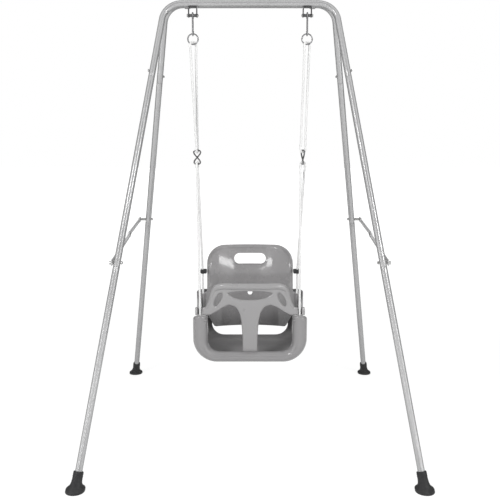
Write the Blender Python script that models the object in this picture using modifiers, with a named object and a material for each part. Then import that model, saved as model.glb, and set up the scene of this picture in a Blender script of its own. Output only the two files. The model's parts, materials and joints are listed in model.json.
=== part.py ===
# Toddler swing set: a folding steel A-frame stand and a bucket seat on ropes.
# Metres, +Z up, the front is -Y. The stand stands on z = 0, centred on x = 0 and y = 0.

import math

import bmesh
import bpy
from mathutils import Matrix, Vector

# Stand
stand_height = 1.450
foot_spacing = 0.994
foot_depth = 1.074
top_corner_spacing = 0.560
tube_diameter = 0.021
tube_wall = 0.0012
bend_radius = 0.066
tube_sides = 16
upper_joint_from_floor = 1.284
lower_joint_from_floor = {"front": 0.655, "rear": 0.737}
spigot_length = 0.048
spigot_clearance = 0.0005
seat_gap = 0.0003

# Fasteners of the tube joints
joint_bolt_diameter = 0.005
joint_bolt_above = 0.022
joint_head_diameter = 0.0095
joint_head_height = 0.004
head_overlap = 0.001
bolt_clearance = 0.0004

# Hinge bands that hold the rear top bar on the front one
band_wall = 0.002
band_clearance = 0.0006
band_width = 0.018
band_inset = 0.006

# Feet
foot_flare_diameter = 0.056
foot_collar_diameter = 0.029
foot_height = 0.056
foot_floor = 0.018
foot_base_height = 0.030
foot_clearance = 0.0005

# Folding side braces
brace_bolt_above = 0.013
brace_bolt_diameter = 0.006
brace_head_diameter = 0.0125
brace_head_height = 0.0045
brace_nut_height = 0.0042
brace_bolt_end = 0.0008
rivet_head_height = 0.003
rivet_tail_height = 0.002
brace_nut_diameter = 0.0105
washer_diameter = 0.010
brace_width = 0.012
brace_end_width = 0.019
brace_neck = 0.016
brace_thickness = 0.003
brace_washer = 0.0035
brace_layer_gap = 0.0004
brace_rise = 0.005
brace_front_share = 0.568

# Hangers
hanger_spacing = 0.3785
stirrup_width = 0.030
stirrup_height = 0.036
stirrup_thickness = 0.003
stirrup_depth = 0.020
stirrup_crown = 0.002
stirrup_weld = 0.002
pin_drop = 0.028
pin_diameter = 0.006
pin_head_diameter = 0.011
pin_head_height = 0.004
pin_nut_height = 0.003
bushing_diameter = 0.011
bushing_gap = 0.0006

# Snap hooks and rings
hook_wire = 0.005
hook_height = 0.0637
gate_wire = 0.004
gate_length = 0.036
gate_drop = 0.0115
ring_wire = 0.0045
ring_radius = 0.017
link_gap = 0.0003

# Ropes and their connectors
rope_diameter = 0.008
rope_step = 0.034
rope_swell = 0.35
connector_wire = 0.005
connector_radius = 0.0118
connector_height = 0.937
connector_turn_deg = {"left": 12.0, "right": 78.0}
bight_steps = 8
bight_slack = 0.0003
ring_slack = 0.0007
rope_spread = 0.0085

# Seat shell
seat_half_width = 0.1905
seat_bottom = 0.2565
seat_wall = 0.004
roll_width = 0.050
roll_height = 0.0345
roll_depth = 0.024
roll_crown = 0.006
roll_back = -0.127
roll_top = 0.418
roll_corner = 0.080
seat_floor = 0.268
ear_half_width = 0.190
ear_top = 0.455
rear_lip = 0.283
seat_rear = 0.119
front_rope_x = 0.165
front_rope_y = -0.136
rear_rope_x = 0.170
rear_rope_y = 0.082
web_thickness = 0.006
web_depth = 0.025
web_reach = 0.014
front_web_top = 0.404
rear_web_top = 0.363
rope_hole_clearance = 0.0008
rear_corner_growth = 0.033
rear_corner_drop = 0.026
rear_half_width = 0.142
knot_radius = 0.009

# Backrest
back_half_width = 0.156
back_top = 0.617
back_corner = 0.062
wing_half_width = 0.181
wing_top = 0.452
back_bottom = 0.3225
back_bottom_half_width = 0.129
back_wall = 0.005
back_y = 0.114
back_lean = 0.115
back_sag = 0.050
handle_width = 0.116
handle_height = 0.038
handle_z = 0.566
back_hole_diameter = 0.017
back_hole_z = 0.441
sleeve_radius = 0.0085
sleeve_top = 0.448
clip_z = 0.527
clip_height = 0.015
clip_clearance = 0.0006
clip_rope_y = 0.089

# T-shaped guard
guard_thickness = 0.012
guard_bar_diameter = 0.021
guard_bar_z = 0.5165
guard_root_y = -0.117
guard_lean = 0.18
guard_end_back = 0.019
guard_travel = 0.120
post_half_width = 0.0255
post_bottom = 0.272
guard_slot_width = 0.017
slot_clearance = 0.0010
guard_end_x = 0.183
eyelet_clearance = 0.0012

tube_radius = tube_diameter / 2
rope_radius = rope_diameter / 2
bar_spacing = tube_diameter + band_wall + band_clearance + seat_gap
bar_z = stand_height - tube_radius
hanger_y = -bar_spacing / 2
pin_z = stand_height - tube_diameter - pin_drop
ring_z = pin_z - hook_height + hook_wire / 2 + ring_wire / 2 + link_gap - ring_radius
spigot_radius = tube_radius - tube_wall - spigot_clearance
facets = 16

parts = bpy.data.collections.new("toddler_swing_set")
cutters = bpy.data.collections.new("cutters")


def clear_scene():
    for item in list(bpy.data.objects):
        bpy.data.objects.remove(item, do_unlink=True)
    bpy.context.scene.collection.children.link(parts)
    bpy.context.scene.collection.children.link(cutters)


def paint(item, colour, metallic, roughness):
    material = bpy.data.materials.new(item.name + "_finish")
    material.use_nodes = True
    shader = material.node_tree.nodes["Principled BSDF"]
    shader.inputs["Base Color"].default_value = (*colour, 1.0)
    shader.inputs["Metallic"].default_value = metallic
    shader.inputs["Roughness"].default_value = roughness
    item.data.materials.clear()
    item.data.materials.append(material)


def painted_steel(item):
    paint(item, (0.42, 0.42, 0.43), 0.55, 0.38)


def plated_steel(item):
    paint(item, (0.62, 0.62, 0.63), 1.0, 0.22)


def black_plastic(item):
    paint(item, (0.02, 0.02, 0.022), 0.0, 0.5)


def black_rubber(item):
    paint(item, (0.018, 0.018, 0.018), 0.0, 0.75)


def grey_plastic(item):
    paint(item, (0.28, 0.275, 0.28), 0.0, 0.3)


def light_grey_plastic(item):
    paint(item, (0.37, 0.365, 0.37), 0.0, 0.32)


def white_rope(item):
    paint(item, (0.85, 0.85, 0.84), 0.0, 0.85)


def add(name, mesh, collection=parts):
    item = bpy.data.objects.new(name, mesh)
    collection.objects.link(item)
    return item


def smooth(mesh, angle_deg=35.0):
    for face in mesh.polygons:
        face.use_smooth = True
    edges = bmesh.new()
    edges.from_mesh(mesh)
    for edge in edges.edges:
        edge.smooth = edge.calc_face_angle(0.0) < math.radians(angle_deg)
    edges.to_mesh(mesh)
    edges.free()


def bake(item):
    """The object's evaluated shape becomes its own mesh, welded at loose caps."""
    bpy.context.view_layer.update()
    graph = bpy.context.evaluated_depsgraph_get()
    mesh = bpy.data.meshes.new_from_object(item.evaluated_get(graph))
    work = bmesh.new()
    work.from_mesh(mesh)
    bmesh.ops.remove_doubles(work, verts=work.verts, dist=0.00001)
    bmesh.ops.triangulate(work, faces=[face for face in work.faces if len(face.verts) > 4])
    work.to_mesh(mesh)
    work.free()
    made = bpy.data.objects.new(item.name + "_baked", mesh)
    made.matrix_world = item.matrix_world.copy()
    for collection in item.users_collection:
        collection.objects.link(made)
    name = item.name
    bpy.data.objects.remove(item, do_unlink=True)
    made.name = name
    return made


def cylinder(name, start, end, radius, sides=facets, collection=parts, tip=None):
    """A closed cylinder or cone between two points."""
    start = Vector(start)
    along = Vector(end) - start
    work = bmesh.new()
    bmesh.ops.create_cone(
        work,
        cap_ends=True,
        segments=sides,
        radius1=radius,
        radius2=radius if tip is None else tip,
        depth=along.length,
        matrix=Matrix.Translation((0, 0, along.length / 2)),
    )
    mesh = bpy.data.meshes.new(name)
    work.to_mesh(mesh)
    work.free()
    item = add(name, mesh, collection)
    item.location = start
    item.rotation_mode = "QUATERNION"
    item.rotation_quaternion = along.to_track_quat("Z", "Y")
    smooth(mesh)
    return item


def box(name, low, high, collection=parts):
    low = Vector(low)
    high = Vector(high)
    work = bmesh.new()
    bmesh.ops.create_cube(work, size=1.0)
    bmesh.ops.scale(work, vec=high - low, verts=work.verts)
    mesh = bpy.data.meshes.new(name)
    work.to_mesh(mesh)
    work.free()
    item = add(name, mesh, collection)
    item.location = (low + high) / 2
    return item


def ball(name, centre, radius, collection=parts):
    work = bmesh.new()
    bmesh.ops.create_uvsphere(work, u_segments=12, v_segments=8, radius=radius)
    mesh = bpy.data.meshes.new(name)
    work.to_mesh(mesh)
    work.free()
    item = add(name, mesh, collection)
    item.location = centre
    smooth(mesh, 60.0)
    return item


def turned(name, profile, steps=facets, closed=False):
    """A profile of (radius, height) points, down its outer side, turned about Z."""
    mesh = bpy.data.meshes.new(name)
    count = len(profile)
    edges = [(i, i + 1) for i in range(count - 1)]
    if closed:
        edges.append((count - 1, 0))
    mesh.from_pydata([(r, 0.0, h) for r, h in profile], edges, [])
    item = add(name, mesh)
    screw = item.modifiers.new("turn", "SCREW")
    screw.steps = steps
    screw.render_steps = steps
    screw.use_merge_vertices = True
    screw.merge_threshold = 0.00001
    screw.use_smooth_shade = True
    made = bake(item)
    smooth(made.data)
    return made


def aim(item, start, direction):
    item.location = start
    item.rotation_mode = "QUATERNION"
    item.rotation_quaternion = Vector(direction).to_track_quat("Z", "Y")


def torus(name, centre, radius, wire, normal, rings, phase=0.0):
    """A closed ring of wire around the given normal."""
    angles = [math.tau * (i + phase) / rings for i in range(rings)]
    points = [(math.cos(angle) * radius, math.sin(angle) * radius, 0.0) for angle in angles]
    item = wire_piece(name, points, wire / 2, 2, cyclic=True)
    aim(item, centre, normal)
    return item


def wire_piece(name, points, radius, resolution, cyclic=False, collection=parts):
    """A round bar along the points, with filled ends."""
    curve = bpy.data.curves.new(name, "CURVE")
    curve.dimensions = "3D"
    curve.bevel_depth = radius
    curve.bevel_resolution = resolution
    curve.use_fill_caps = True
    line = curve.splines.new("POLY")
    line.points.add(len(points) - 1)
    for target, point in zip(line.points, points):
        target.co = (*point, 1.0)
    line.use_cyclic_u = cyclic
    item = bpy.data.objects.new(name, curve)
    collection.objects.link(item)
    made = bake(item)
    smooth(made.data, 50.0)
    return made


def plate(name, outline, holes, thickness, collection=parts):
    """A flat plate from closed outlines of (x, z) points, centred on its own y = 0."""
    curve = bpy.data.curves.new(name, "CURVE")
    curve.dimensions = "2D"
    curve.fill_mode = "BOTH"
    curve.extrude = thickness / 2
    for loop in [outline, *holes]:
        line = curve.splines.new("POLY")
        line.points.add(len(loop) - 1)
        for target, (x, z) in zip(line.points, loop):
            target.co = (x, z, 0.0, 1.0)
        line.use_cyclic_u = True
    item = bpy.data.objects.new(name, curve)
    collection.objects.link(item)
    item.rotation_euler = (math.pi / 2, 0.0, 0.0)
    return bake(item)


def combine(item, others, operation):
    for other in others:
        step = item.modifiers.new(operation.lower(), "BOOLEAN")
        step.operation = operation
        step.solver = "EXACT"
        step.object = other
    made = bake(item)
    for other in others:
        if other.name in parts.objects:
            bpy.data.objects.remove(other, do_unlink=True)
        else:
            other.hide_render = True
            other.display_type = "WIRE"
    return made


def cut(item, others):
    return combine(item, others, "DIFFERENCE")


def fuse(item, others):
    return combine(item, others, "UNION")


def round_corners(points, radii, steps=5, closed=True):
    """The outline with an arc of the given radius at each corner."""
    count = len(points)
    out = []
    for i, corner in enumerate(points):
        radius = radii[i] if isinstance(radii, (list, tuple)) else radii
        if radius == 0 or (not closed and i in (0, count - 1)):
            out.append(tuple(corner))
            continue
        here = Vector(corner)
        back = (Vector(points[i - 1]) - here).normalized()
        ahead = (Vector(points[(i + 1) % count]) - here).normalized()
        half = back.angle(ahead) / 2
        reach = radius / math.tan(half)
        centre = here + (back + ahead).normalized() * (radius / math.sin(half))
        first = here + back * reach - centre
        last = here + ahead * reach - centre
        turn = first.angle(last)
        for k in range(steps + 1):
            share = k / steps
            spoke = (
                first * math.sin(turn * (1 - share)) + last * math.sin(turn * share)
            ) / math.sin(turn)
            out.append(tuple(centre + spoke))
    return out


def obround(start, end, width, steps=6):
    """A slot outline between two points."""
    start = Vector(start)
    end = Vector(end)
    along = (end - start).normalized()
    side = Vector((-along.y, along.x)) * width / 2
    out = []
    for middle, sign in ((end, 1.0), (start, -1.0)):
        for k in range(steps + 1):
            angle = math.pi * k / steps
            spoke = -side * math.cos(angle) * sign + along * math.sin(angle) * sign * width / 2
            out.append(tuple(middle + spoke))
    return out


# Stand geometry
# A leg's axis runs from its foot point on the floor to the corner of the top bar.
def leg_foot(frame, side):
    return Vector((side * foot_spacing / 2, frame * foot_depth / 2, 0.0))


def leg_corner(frame, side):
    return Vector((side * top_corner_spacing / 2, frame * bar_spacing / 2, bar_z))


def leg_direction(frame, side):
    return (leg_corner(frame, side) - leg_foot(frame, side)).normalized()


def on_leg(frame, side, distance):
    return leg_foot(frame, side) + leg_direction(frame, side) * distance


def flat_seat(radius):
    """How far from a leg's axis, along X, a flat face of this radius rests on the sloping tube."""
    slope = (foot_spacing - top_corner_spacing) / 2 / bar_z
    return tube_radius * math.hypot(1.0, slope) + radius * slope + seat_gap


FRAMES = {"front": -1, "rear": 1}
SIDES = {"left": -1, "right": 1}


def top_frame(label):
    """The bent top tube: the top bar and the upper stretch of two legs."""
    frame = FRAMES[label]
    left_end = on_leg(frame, -1, upper_joint_from_floor + seat_gap)
    right_end = on_leg(frame, 1, upper_joint_from_floor + seat_gap)
    corners = [left_end, leg_corner(frame, -1), leg_corner(frame, 1), right_end]
    route = round_corners(corners, [0, bend_radius, bend_radius, 0], steps=6, closed=False)
    resolution = (tube_sides - 4) // 2
    outer = wire_piece(label + "_top_frame", route, tube_radius, resolution)
    stretched = [Vector(p) for p in route]
    stretched[0] = stretched[0] - leg_direction(frame, -1) * 0.01
    stretched[-1] = stretched[-1] - leg_direction(frame, 1) * 0.01
    bore = wire_piece(label + "_top_bore", stretched, tube_radius - tube_wall, resolution, collection=cutters)
    height = upper_joint_from_floor + joint_bolt_above
    holes = [bolt_hole(label, side, height, joint_bolt_diameter) for side in SIDES]
    made = cut(outer, [bore, *holes])
    painted_steel(made)
    return made


def bolt_hole(label, side_label, distance, diameter):
    frame = FRAMES[label]
    side = SIDES[side_label]
    middle = on_leg(frame, side, distance)
    reach = Vector((tube_diameter, 0.0, 0.0))
    name = f"{label}_{side_label}_hole_{round(distance * 1000)}"
    return cylinder(name, middle - reach, middle + reach, diameter / 2 + bolt_clearance, 10, cutters)


def leg_tube(name, label, side_label, low, high, hole_distances):
    """A straight tube with a narrower spigot that slips into the tube above it."""
    frame = FRAMES[label]
    side = SIDES[side_label]
    length = high - low - seat_gap
    bore = tube_radius - tube_wall
    inner = spigot_radius - tube_wall
    top = length + spigot_length
    profile = [
        (inner, top),
        (spigot_radius, top),
        (spigot_radius, length + seat_gap),
        (tube_radius - 0.0008, length),
        (tube_radius, length - 0.001),
        (tube_radius, 0.0),
        (bore, 0.0),
        (bore, length - 0.006),
        (inner, length - 0.002),
    ]
    tube = turned(name, profile, tube_sides, closed=True)
    aim(tube, on_leg(frame, side, low + seat_gap), leg_direction(frame, side))
    bpy.context.view_layer.update()
    holes = [bolt_hole(label, side_label, d, size) for d, size in hole_distances]
    made = cut(tube, holes) if holes else tube
    painted_steel(made)
    return made


def legs():
    for label in FRAMES:
        joint = lower_joint_from_floor[label]
        upper_hole = (upper_joint_from_floor + joint_bolt_above, joint_bolt_diameter)
        brace_hole = (joint + brace_bolt_above, brace_bolt_diameter)
        for side_label in SIDES:
            name = f"{label}_middle_leg_{side_label}"
            leg_tube(name, label, side_label, joint, upper_joint_from_floor, [upper_hole, brace_hole])
            name = f"{label}_lower_leg_{side_label}"
            leg_tube(name, label, side_label, foot_floor, joint, [brace_hole])
            foot(label, side_label)


def foot(label, side_label):
    """A rubber boot: a flared base flat on the floor and a collar along the leg."""
    frame = FRAMES[label]
    side = SIDES[side_label]
    point = leg_foot(frame, side)
    axis = leg_direction(frame, side)
    flare = foot_flare_diameter / 2
    collar = foot_collar_diameter / 2
    base = turned(
        f"{label}_foot_{side_label}",
        [
            (0.0, foot_base_height),
            (collar - 0.002, foot_base_height),
            (collar + 0.002, 0.020),
            (flare - 0.006, 0.0115),
            (flare - 0.001, 0.0085),
            (flare, 0.006),
            (flare, 0.002),
            (flare - 0.002, 0.0),
            (0.0, 0.0),
        ],
    )
    base.location = point
    bpy.context.view_layer.update()
    lift = axis * (0.010 / axis.z)
    sleeve = cylinder("collar", point + lift, point + axis * foot_height, collar)
    made = fuse(base, [sleeve])
    start = on_leg(frame, side, foot_floor)
    name = f"{label}_{side_label}_socket"
    socket = cylinder(name, start, start + axis * foot_height, tube_radius + foot_clearance, 20, cutters)
    made = cut(made, [socket])
    black_rubber(made)


def joint_bolts(label):
    """The bolts of the upper tube joints, their heads outside at the front and inside at the rear."""
    frame = FRAMES[label]
    for side_label, side in SIDES.items():
        middle = on_leg(frame, side, upper_joint_from_floor + joint_bolt_above)
        out = Vector((side * (1 if label == "front" else -1), 0.0, 0.0))
        seat = flat_seat(joint_head_diameter / 2)
        shank = cylinder(
            f"{label}_joint_bolt_{side_label}",
            middle - out * tube_radius,
            middle + out * (seat + head_overlap),
            joint_bolt_diameter / 2,
            10,
        )
        head = cylinder(
            "head",
            middle + out * seat,
            middle + out * (seat + joint_head_height),
            joint_head_diameter / 2,
            14,
            tip=joint_head_diameter / 3,
        )
        plated_steel(fuse(shank, [head]))


def hinge_bands():
    """Two steel bands on the back of the front bar, in which the rear bar turns."""
    inner = tube_radius + band_clearance
    outer = inner + band_wall
    slope = (foot_spacing - top_corner_spacing) / 2 / leg_corner(1, 1).z
    bend_reach = bend_radius * math.tan((math.pi / 2 - math.atan(slope)) / 2)
    band_offset = top_corner_spacing / 2 - bend_reach - band_inset - band_width / 2
    for side_label, side in SIDES.items():
        half = band_width / 2
        profile = [(inner, half), (outer, half), (outer, -half), (inner, -half)]
        band = turned("hinge_band_" + side_label, profile, 24, closed=True)
        aim(band, (side * band_offset, bar_spacing / 2, bar_z), (1, 0, 0))
        painted_steel(band)


def stirrup(side_label):
    """A steel stirrup under the front bar, with the hanging pin's holes in its legs."""
    side = SIDES[side_label]
    x = side * hanger_spacing / 2
    half = stirrup_width / 2
    thick = stirrup_thickness
    top = stirrup_height
    outline = [
        (-half, 0.0),
        (-half + thick, 0.0),
        (-half + thick, top - thick - stirrup_crown),
        (half - thick, top - thick - stirrup_crown),
        (half - thick, 0.0),
        (half, 0.0),
        (half, top),
        (-half, top),
    ]
    tip = 0.0013
    radii = [tip, tip, thick, thick, tip, tip, thick * 1.5, thick * 1.5]
    made = plate("hanger_stirrup_" + side_label, round_corners(outline, radii, 4), [], stirrup_depth)
    made.location = (x, hanger_y, stand_height - tube_diameter - stirrup_height + stirrup_weld)
    bpy.context.view_layer.update()
    bores = []
    for name, z, radius, sides in (
        ("saddle", bar_z, tube_radius + seat_gap, 32),
        ("pin_hole", pin_z, pin_diameter / 2 + seat_gap, 14),
    ):
        start = (x - stirrup_width, hanger_y, z)
        end = (x + stirrup_width, hanger_y, z)
        bores.append(cylinder(f"{side_label}_{name}", start, end, radius, sides, cutters))
    made = cut(made, bores)
    painted_steel(made)


def hanger_pins():
    for side_label, side in SIDES.items():
        x = side * hanger_spacing / 2
        out = Vector((side, 0, 0))
        middle = Vector((x, hanger_y, pin_z))
        reach = stirrup_width / 2 + seat_gap
        name = "hanger_pin_" + side_label
        head_top = reach + pin_head_height
        nut_end = reach + pin_nut_height
        start = middle - out * (nut_end + head_overlap)
        shank = cylinder(name, start, middle + out * (reach + head_overlap), pin_diameter / 2, 14)
        head = cylinder("head", middle + out * reach, middle + out * head_top, pin_head_diameter / 2, 6)
        nut = cylinder("nut", middle - out * nut_end, middle - out * reach, pin_head_diameter / 2, 6)
        plated_steel(fuse(shank, [head, nut]))


def bushing(side_label):
    x = SIDES[side_label] * hanger_spacing / 2
    half = stirrup_width / 2 - stirrup_thickness - bushing_gap
    inner = pin_diameter / 2 + seat_gap
    outer = bushing_diameter / 2
    profile = [(inner, half), (outer, half), (outer, -half), (inner, -half)]
    made = turned("pin_bushing_" + side_label, profile, closed=True)
    aim(made, (x, hanger_y, pin_z), (1, 0, 0))
    black_plastic(made)


def snap_hook(side_label):
    """A wire hook on the bushing, open at its rear side where the gate closes it."""
    x = SIDES[side_label] * hanger_spacing / 2
    turn = bushing_diameter / 2 + link_gap + hook_wire / 2
    low = pin_z - hook_height + turn
    gate_top = pin_z - gate_drop
    gate_low = gate_top - gate_length
    route = [(x, hanger_y + turn, gate_top + link_gap)]
    for k in range(9):
        angle = math.pi * k / 8
        route.append((x, hanger_y + turn * math.cos(angle), pin_z + turn * math.sin(angle)))
    for k in range(9):
        angle = math.pi * k / 8
        route.append((x, hanger_y - turn * math.cos(angle), low - turn * math.sin(angle)))
    route.append((x, hanger_y + turn, gate_low - link_gap))
    body = wire_piece("snap_hook_" + side_label, route, hook_wire / 2, 3)
    plated_steel(body)
    round_end = gate_wire * 0.3
    profile = [
        (0.0, gate_length),
        (gate_wire / 2, gate_length),
        (gate_wire / 2, round_end),
        (gate_wire * 0.4, gate_wire * 0.13),
        (gate_wire * 0.18, 0.0),
        (0.0, 0.0),
    ]
    gate = turned("hook_gate_" + side_label, profile, 10)
    gate.location = (x, hanger_y + turn, gate_low)
    plated_steel(gate)


def ring(side_label):
    x = SIDES[side_label] * hanger_spacing / 2
    made = torus("ring_" + side_label, (x, hanger_y, ring_z), ring_radius, ring_wire, (0, 1, 0), 20)
    plated_steel(made)


# The ropes hang in a straight line from ring to seat, as seen from the front.
def rope_x(z):
    top = ring_z - ring_radius
    share = (z - front_web_top) / (top - front_web_top)
    return front_rope_x + share * (hanger_spacing / 2 - front_rope_x)


def connector(side_label):
    side = SIDES[side_label]
    x = side * rope_x(connector_height)
    turn = math.radians(connector_turn_deg[side_label])
    normal = (math.sin(turn), math.cos(turn), 0)
    loops = []
    for sign in (1, -1):
        centre = (x, hanger_y, connector_height + sign * connector_radius)
        loops.append(torus("loop", centre, connector_radius, connector_wire, normal, 16, 0.25 * sign))
    loops[0].name = "rope_connector_" + side_label
    made = fuse(loops[0], [loops[1]])
    made.name = "rope_connector_" + side_label
    plated_steel(made)


def upper_rope(side_label):
    """A closed loop of rope over the ring's wire and under the connector's upper eye."""
    side = SIDES[side_label]
    turn = math.radians(connector_turn_deg[side_label])
    top_x = side * hanger_spacing / 2
    low_x = side * rope_x(connector_height)
    ring_wire_z = ring_z - ring_radius
    over = ring_wire / 2 + rope_radius + link_gap + ring_slack
    under = connector_wire / 2 + rope_radius + link_gap + bight_slack
    eye_z = connector_height + 2 * connector_radius
    top_dir = Vector((rope_spread, over + ring_slack, 0.0))
    low_dir = Vector((math.sin(turn), math.cos(turn), 0.0)) * (under + bight_slack)
    route = bight(Vector((top_x, hanger_y, ring_wire_z)), top_dir, over)
    below = bight(Vector((low_x, hanger_y, eye_z)), -low_dir, -under)
    right = strand(route[-1], below[0])
    left = strand(below[-1], route[0])
    points = [*route, *right, *below, *left]
    made = wire_piece("upper_rope_" + side_label, points, rope_radius, 2, cyclic=True)
    white_rope(made)


def bight(middle, sweep, rise):
    """Half a turn of rope from one side of a wire to the other."""
    out = []
    for k in range(bight_steps + 1):
        angle = math.pi * k / bight_steps
        out.append(middle - sweep * math.cos(angle) + Vector((0, 0, rise * math.sin(angle))))
    return out


def strand(start, end):
    """Points between two rope ends, without the ends, along a faint S."""
    count = round((end - start).length / rope_step)
    out = []
    for k in range(1, count):
        t = k / count
        share = t + rope_swell * (t * t * (3 - 2 * t) - t)
        point = start.lerp(end, share)
        point.z = start.z + (end.z - start.z) * t
        out.append(point)
    return out


def lower_rope_points(side_label):
    """From the knot under the front web up over the connector's lower eye and down to the rear knot."""
    side = SIDES[side_label]
    turn = math.radians(connector_turn_deg[side_label])
    eye_z = connector_height - 2 * connector_radius
    x = side * rope_x(connector_height)
    over = connector_wire / 2 + rope_radius + link_gap + bight_slack
    sweep = Vector((math.sin(turn), math.cos(turn), 0.0)) * (over + bight_slack)
    turn_points = bight(Vector((x, hanger_y, eye_z)), sweep, over)
    front_low = Vector((side * front_rope_x, front_rope_y, front_web_top - web_thickness - seat_gap))
    front_top = Vector((side * front_rope_x, front_rope_y, front_web_top + 0.002))
    clip = Vector((side * (rear_rope_x + 0.001), clip_rope_y, clip_z))
    rear_top = Vector((side * rear_rope_x, rear_rope_y, sleeve_top))
    rear_low = Vector((side * rear_rope_x, rear_rope_y, rear_web_top - web_thickness - seat_gap))
    out = [front_low, *line(front_top, turn_points[0]), *turn_points[1:]]
    for start, end in ((turn_points[-1], clip), (clip, rear_top), (rear_top, rear_low)):
        out.extend(line(start, end)[1:])
    return out


def line(start, end):
    count = max(1, round((end - start).length / rope_step))
    return [start.lerp(end, k / count) for k in range(count + 1)]


def lower_rope(side_label):
    made = wire_piece("lower_rope_" + side_label, lower_rope_points(side_label), rope_radius, 2)
    white_rope(made)


def rope_knots(side_label):
    side = SIDES[side_label]
    for place, x, y, top in (
        ("front", front_rope_x, front_rope_y, front_web_top),
        ("rear", rear_rope_x, rear_rope_y, rear_web_top),
    ):
        centre = (side * x, y, top - web_thickness - 2 * seat_gap - knot_radius)
        white_rope(ball(f"rope_knot_{place}_{side_label}", centre, knot_radius))


def channel(half_width, floor, corner, top):
    """The cross-section of the tub from one wall's top over the floor to the other's."""
    wall_steps = 3
    arc_steps = 5
    floor_steps = 3
    reach = half_width - corner
    side = []
    for k in range(wall_steps):
        side.append((half_width, top + (floor + corner - top) * k / wall_steps))
    for k in range(arc_steps):
        angle = math.pi / 2 * k / arc_steps
        side.append((reach + corner * math.cos(angle), floor + corner - corner * math.sin(angle)))
    for k in range(floor_steps):
        side.append((reach * (1 - k / floor_steps), floor))
    left = [(-x, z) for x, z in side]
    return [*left, (0.0, floor), *reversed(side)]


def seat_stations():
    """The tub's cross-sections from the rolled front rim to the rear lip."""
    stations = []
    roll_steps = 7
    for k in range(roll_steps + 1):
        angle = math.pi * k / roll_steps
        inward = (1 - math.cos(angle)) / 2
        stations.append(
            (
                roll_back - roll_depth * math.sin(angle),
                seat_half_width - roll_width * inward,
                seat_bottom + roll_height * inward,
                roll_corner - (roll_width + roll_height) / 2 * inward,
                roll_top - roll_crown + roll_crown * math.sin(angle),
            )
        )
    inner = seat_half_width - roll_width
    inner_corner = roll_corner - (roll_width + roll_height) / 2
    # Each row: the share of the way to the back, how far the floor has risen, how far the walls have, and how far
    # the walls have turned in behind the backrest.
    for share, height, rise, turn in (
        (0.10, 0.40, 0.04, 0.0),
        (0.20, 0.10, 0.06, 0.0),
        (0.40, 0.0, 0.14, 0.0),
        (0.60, 0.0, 0.32, 0.0),
        (0.75, 0.0, 0.60, 0.0),
        (0.88, 0.02, 0.88, 0.0),
        (0.955, 0.18, 1.0, 0.22),
        (0.985, 0.55, 1.0, 0.52),
        (1.0, 1.0, 0.97, 1.0),
    ):
        stations.append(
            (
                roll_back + (seat_rear - roll_back) * share,
                inner + (ear_half_width - inner) * min(1.0, share * 1.15)
                - (ear_half_width - rear_half_width) * turn,
                seat_floor + (seat_bottom + roll_height - seat_floor) * height * (share < 0.5)
                + (rear_lip - seat_floor) * height * (share > 0.5),
                inner_corner + rear_corner_growth * min(1.0, share * 1.5) - rear_corner_drop * turn,
                roll_top - roll_crown + (ear_top - roll_top + roll_crown) * rise,
            )
        )
    return stations


def seat_shell():
    rows = []
    for y, half_width, floor, corner, top in seat_stations():
        rows.append([(x, y, z) for x, z in channel(half_width, floor, corner, top)])
    columns = len(rows[0])
    mesh = bpy.data.meshes.new("seat_shell")
    faces = []
    for r in range(len(rows) - 1):
        for c in range(columns - 1):
            a = r * columns + c
            faces.append((a, a + 1, a + columns + 1, a + columns))
    mesh.from_pydata([p for row in rows for p in row], [], faces)
    item = add("seat_shell", mesh)
    wall = item.modifiers.new("wall", "SOLIDIFY")
    wall.thickness = seat_wall
    wall.offset = -1
    wall.use_even_offset = True
    made = bake(item)
    webs = []
    low_x = seat_half_width - roll_width + 0.002
    high_x = seat_half_width - 0.002
    for side in SIDES.values():
        webs.append(web("front_web", side, (low_x, high_x), front_rope_y, front_web_top))
        reach = (rear_rope_x - web_reach, ear_half_width + 0.002)
        webs.append(web("rear_web", side, reach, rear_rope_y, rear_web_top))
    made = fuse(made, webs)
    holes = []
    front_hole = (front_rope_x, front_rope_y, front_web_top)
    rear_hole = (rear_rope_x, rear_rope_y, rear_web_top)
    for side in SIDES.values():
        for x, y, z in (front_hole, rear_hole):
            low = (side * x, y, z - web_thickness - 0.004)
            high = (side * x, y, z + 0.004)
            holes.append(cylinder("rope_hole", low, high, rope_radius + rope_hole_clearance, 12, cutters))
    lip = seat_bottom + roll_height
    reach = guard_thickness / 2 + slot_clearance
    slide = guard_slide()
    slot_front = guard_depth(0.0, lip) - reach
    slot_back = guard_root_y + reach + (lip - post_bottom) * slide.y / slide.z
    slot = box(
        "post_slot",
        (-post_half_width - slot_clearance, slot_front, seat_bottom - 0.02),
        (post_half_width + slot_clearance, slot_back, seat_floor + 0.05),
        cutters,
    )
    made = cut(made, [*holes, slot])
    smooth(made.data, 40.0)
    grey_plastic(made)


def web(name, side, reach, y, top):
    """A flat web around a rope, its ends at the two given distances from the middle."""
    ends = sorted((side * reach[0], side * reach[1]))
    return box(name, (ends[0], y - web_depth / 2, top - web_thickness), (ends[1], y + web_depth / 2, top))


def curved_slab(name, x_half, z_low, z_high, depth_at, thickness, columns, rows, collection=parts):
    """A bent sheet of even thickness whose middle surface is y = depth_at(x, z)."""
    mesh = bpy.data.meshes.new(name)
    points = []
    faces = []
    for r in range(rows + 1):
        z = z_low + (z_high - z_low) * r / rows
        for c in range(columns + 1):
            x = -x_half + 2 * x_half * c / columns
            points.append((x, depth_at(x, z), z))
    for r in range(rows):
        for c in range(columns):
            a = r * (columns + 1) + c
            faces.append((a, a + 1, a + columns + 2, a + columns + 1))
    mesh.from_pydata(points, [], faces)
    item = add(name, mesh, collection)
    wall = item.modifiers.new("wall", "SOLIDIFY")
    wall.thickness = thickness
    wall.offset = 0
    wall.use_even_offset = True
    return bake(item)


def back_depth(x, z):
    return back_y + back_lean * (z - back_bottom) - back_sag * (x / wing_half_width) ** 2


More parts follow.
